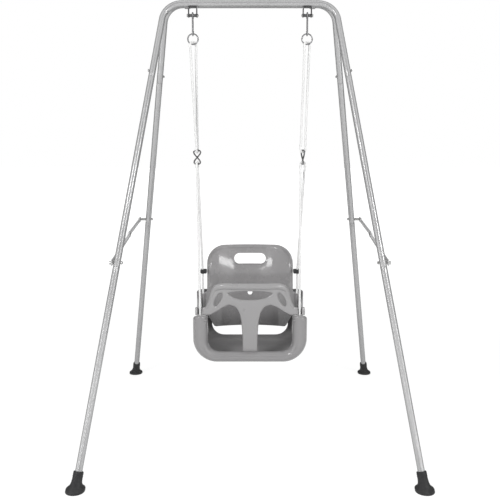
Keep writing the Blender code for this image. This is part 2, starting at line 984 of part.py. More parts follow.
def backrest():
    slab = curved_slab(
        "backrest", wing_half_width + 0.01, back_bottom - 0.02, back_top + 0.02, back_depth, back_wall, 18, 3
    )
    corner = back_corner
    right = [
        (back_half_width, back_top),
        (back_half_width, wing_top),
        (wing_half_width, wing_top),
        (wing_half_width, rear_web_top + seat_gap),
        (rear_rope_x - web_reach - 0.003, rear_web_top + seat_gap),
        (back_bottom_half_width, back_bottom),
    ]
    left = [(-x, z) for x, z in reversed(right)]
    radii = [corner, 0.003, 0.006, 0.004, 0.003, 0.012]
    outline = round_corners([*right, *left], [*radii, *reversed(radii)], 5)
    reach = (handle_width - handle_height) / 2
    handle = obround((-reach, handle_z), (reach, handle_z), handle_height)
    hole = [
        (
            back_hole_diameter / 2 * math.cos(math.tau * k / 14),
            back_hole_z + back_hole_diameter / 2 * math.sin(math.tau * k / 14),
        )
        for k in range(14)
    ]
    form = plate("back_form", outline, [handle, hole], 0.5, cutters)
    made = combine(slab, [form], "INTERSECT")
    sleeves = []
    bores = []
    for side in SIDES.values():
        low = (side * rear_rope_x, rear_rope_y, rear_web_top + seat_gap)
        high = (side * rear_rope_x, rear_rope_y, sleeve_top)
        sleeves.append(cylinder("sleeve", low, high, sleeve_radius))
        start = (side * rear_rope_x, rear_rope_y, rear_web_top - 0.01)
        end = (side * rear_rope_x, rear_rope_y, sleeve_top + 0.02)
        bores.append(cylinder("bore", start, end, rope_radius + rope_hole_clearance, 12, cutters))
    made = cut(fuse(made, sleeves), bores)
    smooth(made.data, 40.0)
    grey_plastic(made)


def rope_clip(side_label):
    """A black clip on the backrest's edge around the rear rope."""
    side = SIDES[side_label]
    inner = back_half_width + seat_gap
    outer = rear_rope_x + 0.009
    back = back_depth(back_half_width, clip_z) + 0.003
    ends = sorted((side * inner, side * outer))
    made = box(
        "rope_clip_" + side_label,
        (ends[0], clip_rope_y - 0.009, clip_z - clip_height / 2),
        (ends[1], back, clip_z + clip_height / 2),
    )
    points = lower_rope_points(side_label)
    middle = Vector((side * rear_rope_x, clip_rope_y, clip_z))
    near = min(range(len(points)), key=lambda i: (points[i] - middle).length)
    bores = []
    for a, b in ((points[near], points[near - 1]), (points[near], points[near + 1])):
        bores.append(cylinder("clip_bore", a - (b - a) * 0.12, b, rope_radius + clip_clearance, 14, cutters))
    made = cut(made, bores)
    black_plastic(made)


def guard_depth(x, z):
    q = (x / front_rope_x) ** 2
    return guard_root_y - guard_lean * (z - seat_floor) * max(0.0, 1 - q) - guard_end_back * q


def guard_slide():
    """The way up along the front ropes, seen from the side."""
    rise = connector_height - 2 * connector_radius - front_web_top
    return Vector((0.0, hanger_y - front_rope_y, rise)).normalized()


def guard():
    """The T-shaped guard: post, two arms to the front ropes and a round top bar."""
    end_low = roll_top + seat_gap
    width = guard_end_x
    tall = guard_bar_z - post_bottom

    def at(across, up):
        return across * width, post_bottom + up * tall

    half = [
        at(0.000, 1.000),
        at(0.557, 1.000),
        at(0.649, 0.950),
        at(0.703, 0.830),
        at(0.757, 0.721),
        at(1.000, 0.696),
        (width, end_low),
        (0.730 * width, end_low),
        at(0.613, 0.648),
        at(0.503, 0.706),
        at(0.372, 0.750),
        at(0.257, 0.719),
        at(0.195, 0.637),
        at(0.158, 0.516),
        (post_half_width, post_bottom + 0.306 * tall),
        (post_half_width, post_bottom),
    ]
    left = [(-x, z) for x, z in reversed(half[1:])]
    points = [*half, *left]
    arm_bends = [0.0, 0.068, 0.057, 0.113, 0.068, 0.057, 0.034, 0.034]
    bends = [*arm_bends, 0.17, 0.17, 0.068, 0.085, 0.17, 0.283, 0.283, 0.023]
    radii = [bend * width for bend in bends]
    outline = round_corners(points, [*radii, *reversed(radii[1:])], 4)
    # Each row: the place of a corner on the lens's right half, and its bend.
    corners = [
        (*at(0.000, 0.945), 0.567 * width),
        (*at(0.250, 0.937), 0.283 * width),
        (*at(0.413, 0.913), 0.011 * width),
        (*at(0.300, 0.853), 0.170 * width),
        (*at(0.165, 0.826), 0.283 * width),
        (*at(0.000, 0.819), 0.340 * width),
    ]
    mirrored = [(-x, z, radius) for x, z, radius in reversed(corners[1:-1])]
    rows = [*corners, *mirrored]
    lens = round_corners([row[:2] for row in rows], [row[2] for row in rows], 3)
    slots = [obround(at(s * 0.530, 0.882), at(s * 0.615, 0.760), guard_slot_width) for s in (-1, 1)]
    low = post_bottom - 0.02
    high = guard_bar_z + 0.03
    slab = curved_slab("guard", guard_end_x + 0.01, low, high, guard_depth, guard_thickness, 16, 4)
    form = plate("guard_form", outline, [lens, *slots], 0.5, cutters)
    made = combine(slab, [form], "INTERSECT")
    slide = guard_slide()
    radius = rope_radius + eyelet_clearance
    bores = []
    for side_label in SIDES:
        points = lower_rope_points(side_label)
        start = points[1]
        along = (points[2] - start).normalized()
        drift = (along / along.z - slide / slide.z) * guard_travel * slide.z
        for low in (start - along * 0.03, start + drift - along * 0.03):
            bores.append(cylinder("eyelet", low, low + along * 0.12, radius, 12, cutters))
    made = cut(made, bores)
    shares = ((-0.684, 0.880), (-0.655, 0.942), (-0.603, 0.983), (-0.540, 1.0), (-0.270, 1.008), (0.0, 1.01))
    ends = [at(across, up) for across, up in shares]
    bar_route = [(x, guard_depth(x, z), z) for x, z in ends]
    bar_route.extend([(-x, y, z) for x, y, z in reversed(bar_route[:-1])])
    bar = wire_piece("guard_bar", bar_route, guard_bar_diameter / 2, 5)
    made = fuse(made, [bar])
    smooth(made.data, 40.0)
    light_grey_plastic(made)


# Folding braces
# Seen from the side, each brace runs from a bolt on the front leg over a knuckle to a bolt on the rear leg.
def brace_points():
    """The side-view places of the front bolt, the knuckle and the rear bolt."""
    front = on_leg(-1, 1, lower_joint_from_floor["front"] + brace_bolt_above)
    rear = on_leg(1, 1, lower_joint_from_floor["rear"] + brace_bolt_above)
    span = Vector((rear.y - front.y, rear.z - front.z))
    up = Vector((-span.y, span.x)).normalized()
    knuckle = Vector((front.y, front.z)) + span * brace_front_share + up * brace_rise
    return front, knuckle, rear


def arm_planes():
    """The distances from the middle of the inner faces of the front and the rear arm."""
    front, _, _ = brace_points()
    inner = front.x + flat_seat(washer_diameter / 2) + brace_washer + seat_gap
    return inner, inner + brace_thickness + brace_layer_gap


def arm(name, start, end, inner, side, hole_radius):
    """A flat arm between two side-view points with rounded, wider ends."""
    along = end - start
    reach = brace_end_width / 2
    neck = brace_neck
    length = along.length
    half = brace_width / 2
    outline = []
    for k in range(9):
        angle = math.pi / 2 + math.pi * k / 8
        outline.append((reach * math.cos(angle), reach * math.sin(angle)))
    outline.extend([(neck, -half), (length - neck, -half)])
    for k in range(9):
        angle = -math.pi / 2 + math.pi * k / 8
        outline.append((length + reach * math.cos(angle), reach * math.sin(angle)))
    outline.extend([(length - neck, half), (neck, half)])
    made = plate(name, outline, [], brace_thickness)
    across = Vector((side, 0.0, 0.0))
    forward = Vector((0.0, along.x, along.y)).normalized()
    up = across.cross(forward)
    middle = side * (inner + brace_thickness / 2)
    made.matrix_world = Matrix(
        (
            (forward.x, up.x, across.x, middle),
            (forward.y, up.y, across.y, start.x),
            (forward.z, up.z, across.z, start.y),
            (0, 0, 0, 1),
        )
    )
    bpy.context.view_layer.update()
    bores = []
    for point in (start, end):
        low = (side * (inner - 0.01), point.x, point.y)
        high = (side * (inner + brace_thickness + 0.01), point.x, point.y)
        bores.append(cylinder("arm_hole", low, high, hole_radius, 12, cutters))
    made = cut(made, bores)
    painted_steel(made)
    return made


def braces():
    front, knuckle, rear = brace_points()
    front_inner, rear_inner = arm_planes()
    start = Vector((front.y, front.z))
    end = Vector((rear.y, rear.z))
    bolt = brace_bolt_diameter / 2
    hole = bolt + bolt_clearance
    for side_label, side in SIDES.items():
        arm("brace_front_arm_" + side_label, start, knuckle, front_inner, side, hole)
        arm("brace_rear_arm_" + side_label, knuckle, end, rear_inner, side, hole)
        outer = rear_inner + brace_thickness
        rivet = headed_pin("knuckle_rivet_" + side_label, side, knuckle, front_inner, outer, bolt)
        plated_steel(rivet)
        cap = end_cap("brace_end_cap_" + side_label, side, end, rear_inner, outer, bolt)
        plated_steel(cap)
        front_end = front_inner + brace_thickness
        rear_end = rear_inner - brace_layer_gap
        name = "front_brace_bolt_" + side_label
        plated_steel(leg_bolt(name, side, front, front_inner, front_end, bolt, True))
        name = "rear_brace_bolt_" + side_label
        plated_steel(leg_bolt(name, side, rear, rear_inner, rear_end, bolt, False))


def headed_pin(name, side, point, low_x, high_x, radius):
    """A rivet through both arms at the knuckle, a head on each side."""
    head = brace_head_diameter / 2

    def at(x):
        return Vector((side * x, point.x, point.y))

    low = low_x - seat_gap
    high = high_x + seat_gap
    shank = cylinder(name, at(low - head_overlap), at(high + head_overlap), radius, 12)
    inner = cylinder("head", at(low - rivet_tail_height), at(low), head)
    outer = cylinder("head", at(high), at(high + rivet_head_height), head, tip=head * 0.6)
    return fuse(shank, [inner, outer])


def end_cap(name, side, point, low_x, high_x, radius):
    """The outer half of the rear bolt: its head and the stub inside the arm."""
    head = brace_head_diameter / 2

    def at(x):
        return Vector((side * x, point.x, point.y))

    high = high_x + seat_gap
    shank = cylinder(name, at(low_x), at(high + head_overlap), radius, 12)
    outer = cylinder("head", at(high), at(high + brace_head_height), head, 6)
    return fuse(shank, [outer])


def leg_bolt(name, side, middle, arm_inner, shank_end, radius, with_head):
    """A bolt across the leg: a nut inside, a washer between leg and arm and, at the front, a head."""
    head = brace_head_diameter / 2
    out = Vector((side, 0.0, 0.0))
    base = Vector((side * middle.x, middle.y, middle.z))
    centre = middle.x

    def at(x):
        return base + out * (x - centre)

    surface = centre + flat_seat(washer_diameter / 2)
    inside = centre - flat_seat(brace_nut_diameter / 2)
    nut_end = inside - brace_nut_height
    head_start = shank_end + seat_gap
    reach = head_start + head_overlap if with_head else shank_end
    washer_end = arm_inner - seat_gap if with_head else shank_end
    shank = cylinder(name, at(nut_end - brace_bolt_end), at(reach), radius, 12)
    nut = cylinder("nut", at(nut_end), at(inside), brace_nut_diameter / 2, 6)
    washer = cylinder("washer", at(surface), at(washer_end), washer_diameter / 2, 14)
    pieces = [nut, washer]
    if with_head:
        pieces.append(cylinder("head", at(head_start), at(head_start + brace_head_height), head, 6))
    return fuse(shank, pieces)


def pivot(name, location, children):
    """An empty on a joint's axis that carries the pieces that move with it."""
    empty = bpy.data.objects.new(name, None)
    empty.empty_display_size = 0.05
    empty.location = location
    parts.objects.link(empty)
    bpy.context.view_layer.update()
    for child in children:
        item = bpy.data.objects[child]
        item.parent = empty
        item.matrix_parent_inverse = empty.matrix_world.inverted()
    return empty


def joints():
    front, knuckle, _ = brace_points()
    rear_names = [item.name for item in parts.objects if item.name.startswith("rear_")]
    pivot("frame_fold_axis", (0.0, bar_spacing / 2, bar_z), rear_names)
    seat_names = ["seat_shell", "backrest"]
    for side_label, side in SIDES.items():
        inner, _ = arm_planes()
        seat_names.extend(
            f"{piece}_{side_label}"
            for piece in (
                "pin_bushing",
                "snap_hook",
                "ring",
                "upper_rope",
                "rope_connector",
                "lower_rope",
                "rope_clip",
                "rope_knot_front",
                "rope_knot_rear",
            )
        )
        elbow = pivot(
            "brace_knuckle_axis_" + side_label,
            (side * inner, knuckle.x, knuckle.y),
            ["brace_rear_arm_" + side_label, "brace_end_cap_" + side_label],
        )
        shoulder = pivot(
            "brace_axis_" + side_label,
            (side * inner, front.y, front.z),
            ["brace_front_arm_" + side_label, "knuckle_rivet_" + side_label],
        )
        elbow.parent = shoulder
        elbow.matrix_parent_inverse = shoulder.matrix_world.inverted()
    swing = pivot("swing_axis", (0.0, hanger_y, pin_z), seat_names)
    slide = pivot("guard_slide_axis", (0.0, guard_root_y, seat_floor), ["guard"])
    slide.parent = swing
    slide.matrix_parent_inverse = swing.matrix_world.inverted()
    turn = bushing_diameter / 2 + link_gap + hook_wire / 2
    for side_label, side in SIDES.items():
        gate = pivot(
            "gate_axis_" + side_label,
            (side * hanger_spacing / 2, hanger_y + turn, pin_z - gate_drop - gate_length),
            ["hook_gate_" + side_label],
        )
        gate.parent = swing
        gate.matrix_parent_inverse = swing.matrix_world.inverted()


clear_scene()
for frame_label in FRAMES:
    top_frame(frame_label)
    joint_bolts(frame_label)
legs()
hinge_bands()
hanger_pins()
for label_of_side in SIDES:
    stirrup(label_of_side)
    bushing(label_of_side)
    snap_hook(label_of_side)
    ring(label_of_side)
    connector(label_of_side)
    upper_rope(label_of_side)
    lower_rope(label_of_side)
    rope_knots(label_of_side)
seat_shell()
backrest()
for label_of_side in SIDES:
    rope_clip(label_of_side)
guard()
braces()
joints()
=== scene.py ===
import json
import math

import bmesh
import bpy
import numpy as np
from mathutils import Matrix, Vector, geometry


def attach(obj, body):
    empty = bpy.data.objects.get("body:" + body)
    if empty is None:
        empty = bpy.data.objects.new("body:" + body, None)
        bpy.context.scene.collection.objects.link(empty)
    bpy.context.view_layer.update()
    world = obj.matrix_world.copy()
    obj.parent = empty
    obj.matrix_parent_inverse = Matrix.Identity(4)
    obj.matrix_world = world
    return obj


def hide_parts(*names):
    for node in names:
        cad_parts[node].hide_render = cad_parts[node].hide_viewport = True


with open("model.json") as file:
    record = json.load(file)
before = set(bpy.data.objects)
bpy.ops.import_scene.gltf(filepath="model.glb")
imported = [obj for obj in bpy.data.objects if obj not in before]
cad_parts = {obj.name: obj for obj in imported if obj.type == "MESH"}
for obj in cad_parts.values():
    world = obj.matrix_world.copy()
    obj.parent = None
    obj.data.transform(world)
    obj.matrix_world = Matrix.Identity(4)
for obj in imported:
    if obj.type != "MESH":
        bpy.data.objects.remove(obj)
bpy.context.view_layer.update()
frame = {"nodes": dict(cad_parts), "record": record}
print("frame loaded:", len(frame["nodes"]), "nodes")

stand = {
    "height": 1.450,
    "footSpacing": 0.994,
    "footDepth": 1.074,
    "cornerSpacing": 0.560,
    "tube": 0.021,
    "wall": 0.0012,
    "bend": 0.066,
    "halfBarSpacing": 0.01195,
    "upperJoint": 1.284,
    "lowerJoint": {"front": 0.655, "rear": 0.737},
    "footEnd": 0.018,
    "sides": 48,
}
frames = {"front": -1, "rear": 1}
bothSides = {"left": -1, "right": 1}
barZ = stand["height"] - stand["tube"] / 2
legSlope = (stand["footSpacing"] - stand["cornerSpacing"]) / 2 / barZ

# Camera, light and floor. The lamps are placed for the photo's soft light from the front.
studio = {
    "white": 1.0,
    "ambient": 0.34,
    "floorReach": 40.0,
    "floorGrey": 0.7,
    "floorGlow": 0.74,
    "glow": 1.2,
    "fade": (1.6, 4.0),
    "lamps": [
        # name, place, aim, width, height, power, seen in reflections
        ("keyLamp", (-1.9, -2.7, 1.9), (0.0, 0.0, 0.65), 1.0, 0.9, 47.0, False),
        ("fillLamp", (2.1, -2.5, 1.8), (0.0, 0.0, 0.6), 1.0, 0.9, 38.0, False),
        ("backLamp", (0.4, 2.2, 3.3), (0.0, 0.0, 0.7), 2.2, 1.2, 26.0, False),
        ("lowStripLeft", (-0.87, -2.62, 0.74), (0.0, 0.0, 0.6), 0.68, 0.06, 1.6, True),
        ("lowStripRight", (1.32, -2.62, 0.74), (0.0, 0.0, 0.6), 0.84, 0.06, 1.9, True),
        ("glintLeft", (-1.9, -2.6, 2.9), (0.0, 0.0, 0.4), 0.6, 0.5, 16.0, True),
        ("glintRight", (2.1, -2.4, 2.4), (0.0, 0.0, 0.4), 0.6, 0.5, 16.0, True),
        ("tallStripLeft", (-2.0, -1.45, 0.8), (0.0, 0.0, 0.7), 0.2, 1.1, 3.0, True),
        ("tallStripRight", (2.0, -1.45, 0.8), (0.0, 0.0, 0.7), 0.2, 1.1, 3.0, True),
    ],
    "cards": [
        # name, middle, width, height, level of grey
        ("highCard", (0.2, -3.4, 3.4), 3.4, 2.8, 0.1),
        ("lowCard", (0.0, -3.2, 0.32), 4.0, 0.64, 0.05),
        ("leftCard", (-3.3, 1.5, 1.5), 3.6, 3.0, 0.15),
        ("rightCard", (3.3, 0.9, 1.5), 4.2, 3.0, 0.05),
        ("highBackCard", (0.0, 3.2, 3.4), 6.0, 3.0, 0.08),
        ("lowBackCard", (0.0, 3.2, 0.75), 3.4, 1.5, 0.2),
    ],
    "camera": (0.0, -2.41, 0.955),
    "pitch": 82.0,
    "lens": 50.4,
    "sensor": 36.0,
    "farthest": 200.0,
    "shift": 0.0005,
}


def added(name, data):
    thing = bpy.data.objects.new(name, data)
    bpy.context.scene.collection.objects.link(thing)
    return thing


# A sheet with four corners and one material.
def flatSheet(name, corners, material):
    mesh = bpy.data.meshes.new(name)
    mesh.from_pydata(corners, [], [(0, 1, 2, 3)])
    mesh.materials.append(material)
    return added(name, mesh)


# A material's empty node tree with its output node.
def bareMaterial(name):
    material = bpy.data.materials.new(name)
    material.use_nodes = True
    nodes = material.node_tree.nodes
    nodes.clear()
    return material, nodes, material.node_tree.links, nodes.new("ShaderNodeOutputMaterial")


def mathNode(nodes, links, operation, first, second):
    node = nodes.new("ShaderNodeMath")
    node.operation = operation
    links.new(first, node.inputs[0])
    links.new(second, node.inputs[1])
    return node.outputs["Value"]


# A value that runs evenly from one level to another while the source runs between two places.
def between(nodes, links, source, places, levels):
    run = nodes.new("ShaderNodeMapRange")
    run.inputs["From Min"].default_value, run.inputs["From Max"].default_value = places
    run.inputs["To Min"].default_value, run.inputs["To Max"].default_value = levels
    links.new(source, run.inputs["Value"])
    return run.outputs["Result"]


# Two shaders, the second one by the given share.
def blended(nodes, links, share, first, second):
    mix = nodes.new("ShaderNodeMixShader")
    links.new(share, mix.inputs["Fac"])
    links.new(first, mix.inputs[1])
    links.new(second, mix.inputs[2])
    return mix.outputs["Shader"]


# 1 for rays from the camera, a reflection or a clear piece, 0 for those that only carry light.
def shownToCamera(nodes, links):
    path = nodes.new("ShaderNodeLightPath")
    total = path.outputs["Is Camera Ray"]
    for name in ("Is Glossy Ray", "Is Transmission Ray"):
        total = mathNode(nodes, links, "MAXIMUM", total, path.outputs[name])
    return total


# White to the camera and in reflections, dimmer as a light on the object.
def makeWorld():
    world = bpy.data.worlds.new("studio")
    bpy.context.scene.world = world
    world.use_nodes = True
    nodes = world.node_tree.nodes
    links = world.node_tree.links
    nodes.clear()
    out = nodes.new("ShaderNodeOutputWorld")
    skies = []
    for strength in (studio["ambient"], studio["white"]):
        sky = nodes.new("ShaderNodeBackground")
        sky.inputs["Color"].default_value = (1, 1, 1, 1)
        sky.inputs["Strength"].default_value = strength
        skies.append(sky.outputs["Background"])
    links.new(blended(nodes, links, shownToCamera(nodes, links), *skies), out.inputs["Surface"])


# A pale floor that keeps a soft shadow and looks nearly white to the camera: it glows more, the farther
# out.
def makeFloor():
    material, nodes, links, out = bareMaterial("paleFloor")
    matt = nodes.new("ShaderNodeBsdfDiffuse")
    matt.inputs["Color"].default_value = (*[studio["floorGrey"]] * 3, 1)
    glow = nodes.new("ShaderNodeEmission")
    glow.inputs["Strength"].default_value = studio["white"] * studio["glow"]
    place = nodes.new("ShaderNodeTexCoord")
    away = nodes.new("ShaderNodeVectorMath")
    away.operation = "LENGTH"
    links.new(place.outputs["Object"], away.inputs[0])
    fade = between(nodes, links, away.outputs["Value"], studio["fade"], (studio["floorGlow"], 1.0))
    share = mathNode(nodes, links, "MULTIPLY", shownToCamera(nodes, links), fade)
    surface = blended(nodes, links, share, matt.outputs["BSDF"], glow.outputs["Emission"])
    links.new(surface, out.inputs["Surface"])
    reach = studio["floorReach"]
    corners = [(-reach, -reach, 0), (reach, -reach, 0), (reach, reach, 0), (-reach, reach, 0)]
    floor = flatSheet("floor", corners, material)


def makeLamps():
    for name, place, aim, width, height, power, shines in studio["lamps"]:
        light = bpy.data.lights.new(name, "AREA")
        light.shape = "RECTANGLE"
        light.size = width
        light.size_y = height
        light.energy = power
        lamp = added(name, light)
        lamp.visible_glossy = shines
        lamp.location = place
        direction = Vector(aim) - Vector(place)
        lamp.rotation_euler = direction.to_track_quat("-Z", "Y").to_euler()


# Upright grey cards, square to the line from the middle, that only reflections see: they give the tubes
# and the plating their dark edges.
def makeCards():
    for name, middle, width, height, level in studio["cards"]:
        x, y, z = middle
        along = np.array([-y, x]) / math.hypot(x, y) * width / 2
        low, high = z - height / 2, z + height / 2
        left, right = (x - along[0], y - along[1]), (x + along[0], y + along[1])
        material, nodes, links, out = bareMaterial(name)
        grey = nodes.new("ShaderNodeEmission")
        grey.inputs["Color"].default_value = (level, level, level, 1)
        links.new(grey.outputs["Emission"], out.inputs["Surface"])
        card = flatSheet(name, [(*left, low), (*right, low), (*right, high), (*left, high)], material)
        card.visible_camera = False
        card.visible_diffuse = False
        card.visible_transmission = False
        card.visible_volume_scatter = False
        card.visible_shadow = False


def makeCamera():
    data = bpy.data.cameras.new("camera")
    data.lens = studio["lens"]
    data.sensor_width = studio["sensor"]
    data.clip_end = studio["farthest"]
    data.shift_y = studio["shift"]
    camera = added("camera", data)
    camera.location = studio["camera"]
    camera.rotation_euler = (math.radians(studio["pitch"]), 0.0, 0.0)
    bpy.context.scene.camera = camera


makeWorld()
makeFloor()
makeLamps()
makeCards()
makeCamera()
bpy.context.scene.view_settings.view_transform = "Standard"
print("studio made")


# Each vector divided by its length.
def unit(vectors):
    vectors = np.asarray(vectors, float)
    return vectors / np.linalg.norm(vectors, axis=-1, keepdims=True)


# A share from 0 to 1 with a soft start and end: t squared times (3 - 2 t).
def eased(t):
    return t * t * (3 - 2 * t)


# Distances from 0 to 1 for the stations of a domed end, close together at its tip: 1 - cos a.
def domeSteps(count):
    return 1 - np.cos(np.linspace(0, math.pi / 2, count))


# Quads between neighbouring points of a grid, the last row or column joined to the first where it wraps.
def gridFaces(rows, columns, wrapRows=False, wrapColumns=False):
    r = np.arange(rows if wrapRows else rows - 1)
    c = np.arange(columns if wrapColumns else columns - 1)
    r, c = np.meshgrid(r, c, indexing="ij")
    nextR = (r + 1) % rows
    nextC = (c + 1) % columns
    corners = [r * columns + c, r * columns + nextC, nextR * columns + nextC, nextR * columns + c]
    return np.stack(corners, -1).reshape(-1, 4)


# A piece's name from its node's: front_joint_bolt_left gives frontJointBolt_left.
def pieceName(node):
    words = node.split("_")
    ending = "_" + words.pop() if words[-1] in bothSides else ""
    return words[0] + "".join(word.title() for word in words[1:]) + ending


welding = {"near": 0.000002, "short": 0.000001}  # points nearer and edges shorter are merged


# A mesh object from a shape's points and faces, welded at its seams, that rides on a body in place of
# its node. The crown is a value for each point that a finish can read.
def makePiece(node, body, slotName, shape, smoothAngle=38.0, finish=None, crown=None, name=None):
    name = name or pieceName(node)
    points, faces = shape
    mesh = bpy.data.meshes.new(name)
    allFaces = [tuple(f) for group in groupsOf(faces) for f in group.tolist()]
    mesh.from_pydata(np.asarray(points, float).reshape(-1, 3).tolist(), [], allFaces)
    if crown is not None:
        layer = mesh.attributes.new("crown", "FLOAT", "POINT")
        layer.data.foreach_set("value", np.asarray(crown, np.float32))
    work = bmesh.new()
    work.from_mesh(mesh)
    bmesh.ops.remove_doubles(work, verts=work.verts, dist=welding["near"])
    bmesh.ops.dissolve_degenerate(work, dist=welding["short"], edges=work.edges)
    bmesh.ops.delete(work, geom=[v for v in work.verts if not v.link_faces], context="VERTS")
    bmesh.ops.recalc_face_normals(work, faces=work.faces)
    work.to_mesh(mesh)
    work.free()
    mesh.shade_smooth()
    mesh.set_sharp_from_angle(angle=math.radians(smoothAngle))
    piece = added(name, mesh)
    piece.data.materials.append(finish or finishes[slotName])
    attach(piece, body)
    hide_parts(node)
    return piece


# Circles around the centres: centre + radius (across cos a + up sin a), a going once round.
def rings(centres, across, up, radii, sides):
    angle = math.tau * np.arange(sides)[None, :, None] / sides
    radii = np.asarray(radii, float)
    if radii.ndim == 1:
        radii = radii[:, None]
    circle = np.cos(angle) * across[:, None, :] + np.sin(angle) * up[:, None, :]
    return centres[:, None, :] + radii[:, :, None] * circle


# Rings of the given (distance, radius) stations along a straight axis. In the ranges of hexes they are
# hexagons: the radius times cos 30 degrees over the cosine of the angle from the nearest flat's middle.
def lathed(start, axis, stations, sides=32, hexes=(), closedProfile=False):
    start = np.asarray(start, float)
    axis = unit(axis)
    stations = np.asarray(stations, float)
    helper = np.array([0.0, 0.0, 1.0]) if abs(axis[2]) < 0.9 else np.array([0.0, 1.0, 0.0])
    across = unit(np.cross(axis, helper))
    up = np.cross(axis, across)
    count = len(stations)
    centres = start + stations[:, :1] * axis
    radii = np.repeat(stations[:, 1:2], sides, axis=1)
    angle = math.tau * np.arange(sides) / sides
    flat = math.cos(math.pi / 6) / np.cos((angle % (math.pi / 3)) - math.pi / 6)
    for first, last in hexes:
        radii[first:last] *= flat
    points = rings(centres, np.tile(across, (count, 1)), np.tile(up, (count, 1)), radii, sides)
    return points.reshape(-1, 3), gridFaces(count, sides, wrapRows=closedProfile, wrapColumns=True)


# The closed profile of a ring with bevelled edges, as (distance, radius) stations.
def ringProfile(low, high, inner, outer, bevel):
    return [
        (low, inner + bevel), (low, outer - bevel), (low + bevel, outer), (high - bevel, outer),
        (high, outer - bevel), (high, inner + bevel), (high - bevel, inner), (low + bevel, inner),
    ]


# Face arrays as a list, one array for each count of corners.
def groupsOf(faces):
    return faces if isinstance(faces, list) else [faces]


# Several (points, faces) meshes as one.
def joined(*parts):
    points = []
    groups = []
    offset = 0
    for partPoints, partFaces in parts:
        points.append(partPoints)
        groups.extend(group + offset for group in groupsOf(partFaces))
        offset += len(partPoints)
    return np.concatenate(points), groups


# Half the angle between the two sides of a corner.
def halfAngle(before, here, after):
    return math.acos(np.clip(unit(before - here) @ unit(after - here), -1, 1)) / 2


# A round bend at a corner: the arc of this radius that touches both of its sides.
def bendAt(before, here, after, radius, count):
    back = unit(before - here)
    ahead = unit(after - here)
    half = halfAngle(before, here, after)
    reach = radius / math.tan(half)
    centre = here + unit(back + ahead) * radius / math.sin(half)
    first = here + back * reach - centre
    last = here + ahead * reach - centre
    turn = math.pi - 2 * half
    share = np.linspace(0, 1, count)[:, None]
    return centre + (first * np.sin(turn * (1 - share)) + last * np.sin(turn * share)) / math.sin(turn)


# A line through the corners with a round bend at each inner corner.
def bentRoute(corners, radius, spacing=0.004):
    corners = [np.asarray(c, float) for c in corners]
    route = [corners[0]]
    for before, here, after in zip(corners, corners[1:], corners[2:]):
        turn = math.pi - 2 * halfAngle(before, here, after)
        route.extend(bendAt(before, here, after, radius, max(6, round(turn * radius / spacing))))
    route.append(corners[-1])
    return np.array(route)


# How far along a route each of its points lies.
def alongRoute(route):
    return np.concatenate([[0], np.cumsum(np.linalg.norm(np.diff(route, axis=0), axis=1))])


# The direction of a route at each of its points.
def tangents(route, closed=False):
    if closed:
        return unit(np.roll(route, -1, 0) - np.roll(route, 1, 0))
    return unit(np.gradient(route, axis=0))


# Points at even distances along a route.
def resampled(route, spacing, closed=False):
    route = np.asarray(route, float)
    if closed:
        route = np.concatenate([route, route[:1]])
    along = alongRoute(route)
    count = max(2, round(along[-1] / spacing))
    wanted = np.linspace(0, along[-1], count + 1)
    out = np.stack([np.interp(wanted, along, route[:, k]) for k in range(route.shape[1])], -1)
    return out[:-1] if closed else out


# A closed section of (sideways, normal) points carried along a route in the plane of the given normal.
def swept(route, flatNormal, section, closedRoute=False):
    route = np.asarray(route, float)
    normal = np.tile(unit(flatNormal), (len(route), 1))
    side = unit(np.cross(tangents(route, closedRoute), normal))[:, None, :]
    section = np.asarray(section, float)
    if section.ndim == 2:
        section = np.tile(section, (len(route), 1, 1))
    points = route[:, None, :] + section[..., :1] * side + section[..., 1:] * normal[:, None, :]
    faces = gridFaces(len(route), section.shape[1], wrapRows=closedRoute, wrapColumns=True)
    return points.reshape(-1, 3), faces


# A circle of (sideways, normal) points.
def roundSection(radius, sides=24):
    angle = math.tau * np.arange(sides) / sides
    return np.stack([np.cos(angle), np.sin(angle)], -1) * radius


# Sections for a wire whose ends are domed: the radius follows a quarter circle over its own length.
def roundEnds(route, radius, sides=24):
    along = alongRoute(np.asarray(route, float))
    fromEnd = np.minimum(along, along[-1] - along)
    share = np.clip(fromEnd / radius, 0, 1)
    scale = np.sqrt(np.clip(1 - (1 - share) ** 2, 0, 1))
    return roundSection(1.0, sides)[None] * (radius * scale)[:, None, None]


# A rippled weld bead along X: its radius swells a tenth with the sine of the way along.
def weldBead(x, y, z, half, radius, count, ripples):
    along = np.linspace(-half, half, count)
    line = np.stack([x + along, np.full(count, y), np.full(count, z)], -1)
    ripple = 1 + 0.10 * np.abs(np.sin(along * ripples))
    return swept(line, (0, 0, 1), roundEnds(line, radius, 14) * ripple[:, None, None])


# The loop turned to run anticlockwise, which makes the sum of its cross products positive.
def anticlockwise(loop):
    following = np.roll(loop, -1, 0)
    area = np.sum(loop[:, 0] * following[:, 1] - following[:, 0] * loop[:, 1])
    return loop if area > 0 else loop[::-1]


nearlyStraight = 1.55  # half an angle in radians, from which a corner stays a point
bendPoints = 10


# A closed outline of (u, v) corners with a round bend at each, at even spacing and anticlockwise.
def roundedOutline(corners, radii, spacing):
    corners = np.asarray(corners, float)
    out = []
    for before, here, after, radius in zip(np.roll(corners, 1, 0), corners, np.roll(corners, -1, 0), radii):
        sharp = radius == 0 or halfAngle(before, here, after) > nearlyStraight
        out.append(here[None] if sharp else bendAt(before, here, after, radius, bendPoints))
    return anticlockwise(resampled(np.concatenate(out), spacing, closed=True))


# The distance of each point from a closed outline.
def distanceTo(points, loop):
    a = loop[None]
    b = np.roll(loop, -1, 0)[None]
    along = b - a
    p = points[:, None, :]
    share = np.clip(np.sum((p - a) * along, -1) / np.sum(along * along, -1), 0, 1)
    return np.linalg.norm(p - a - share[..., None] * along, axis=-1).min(1)


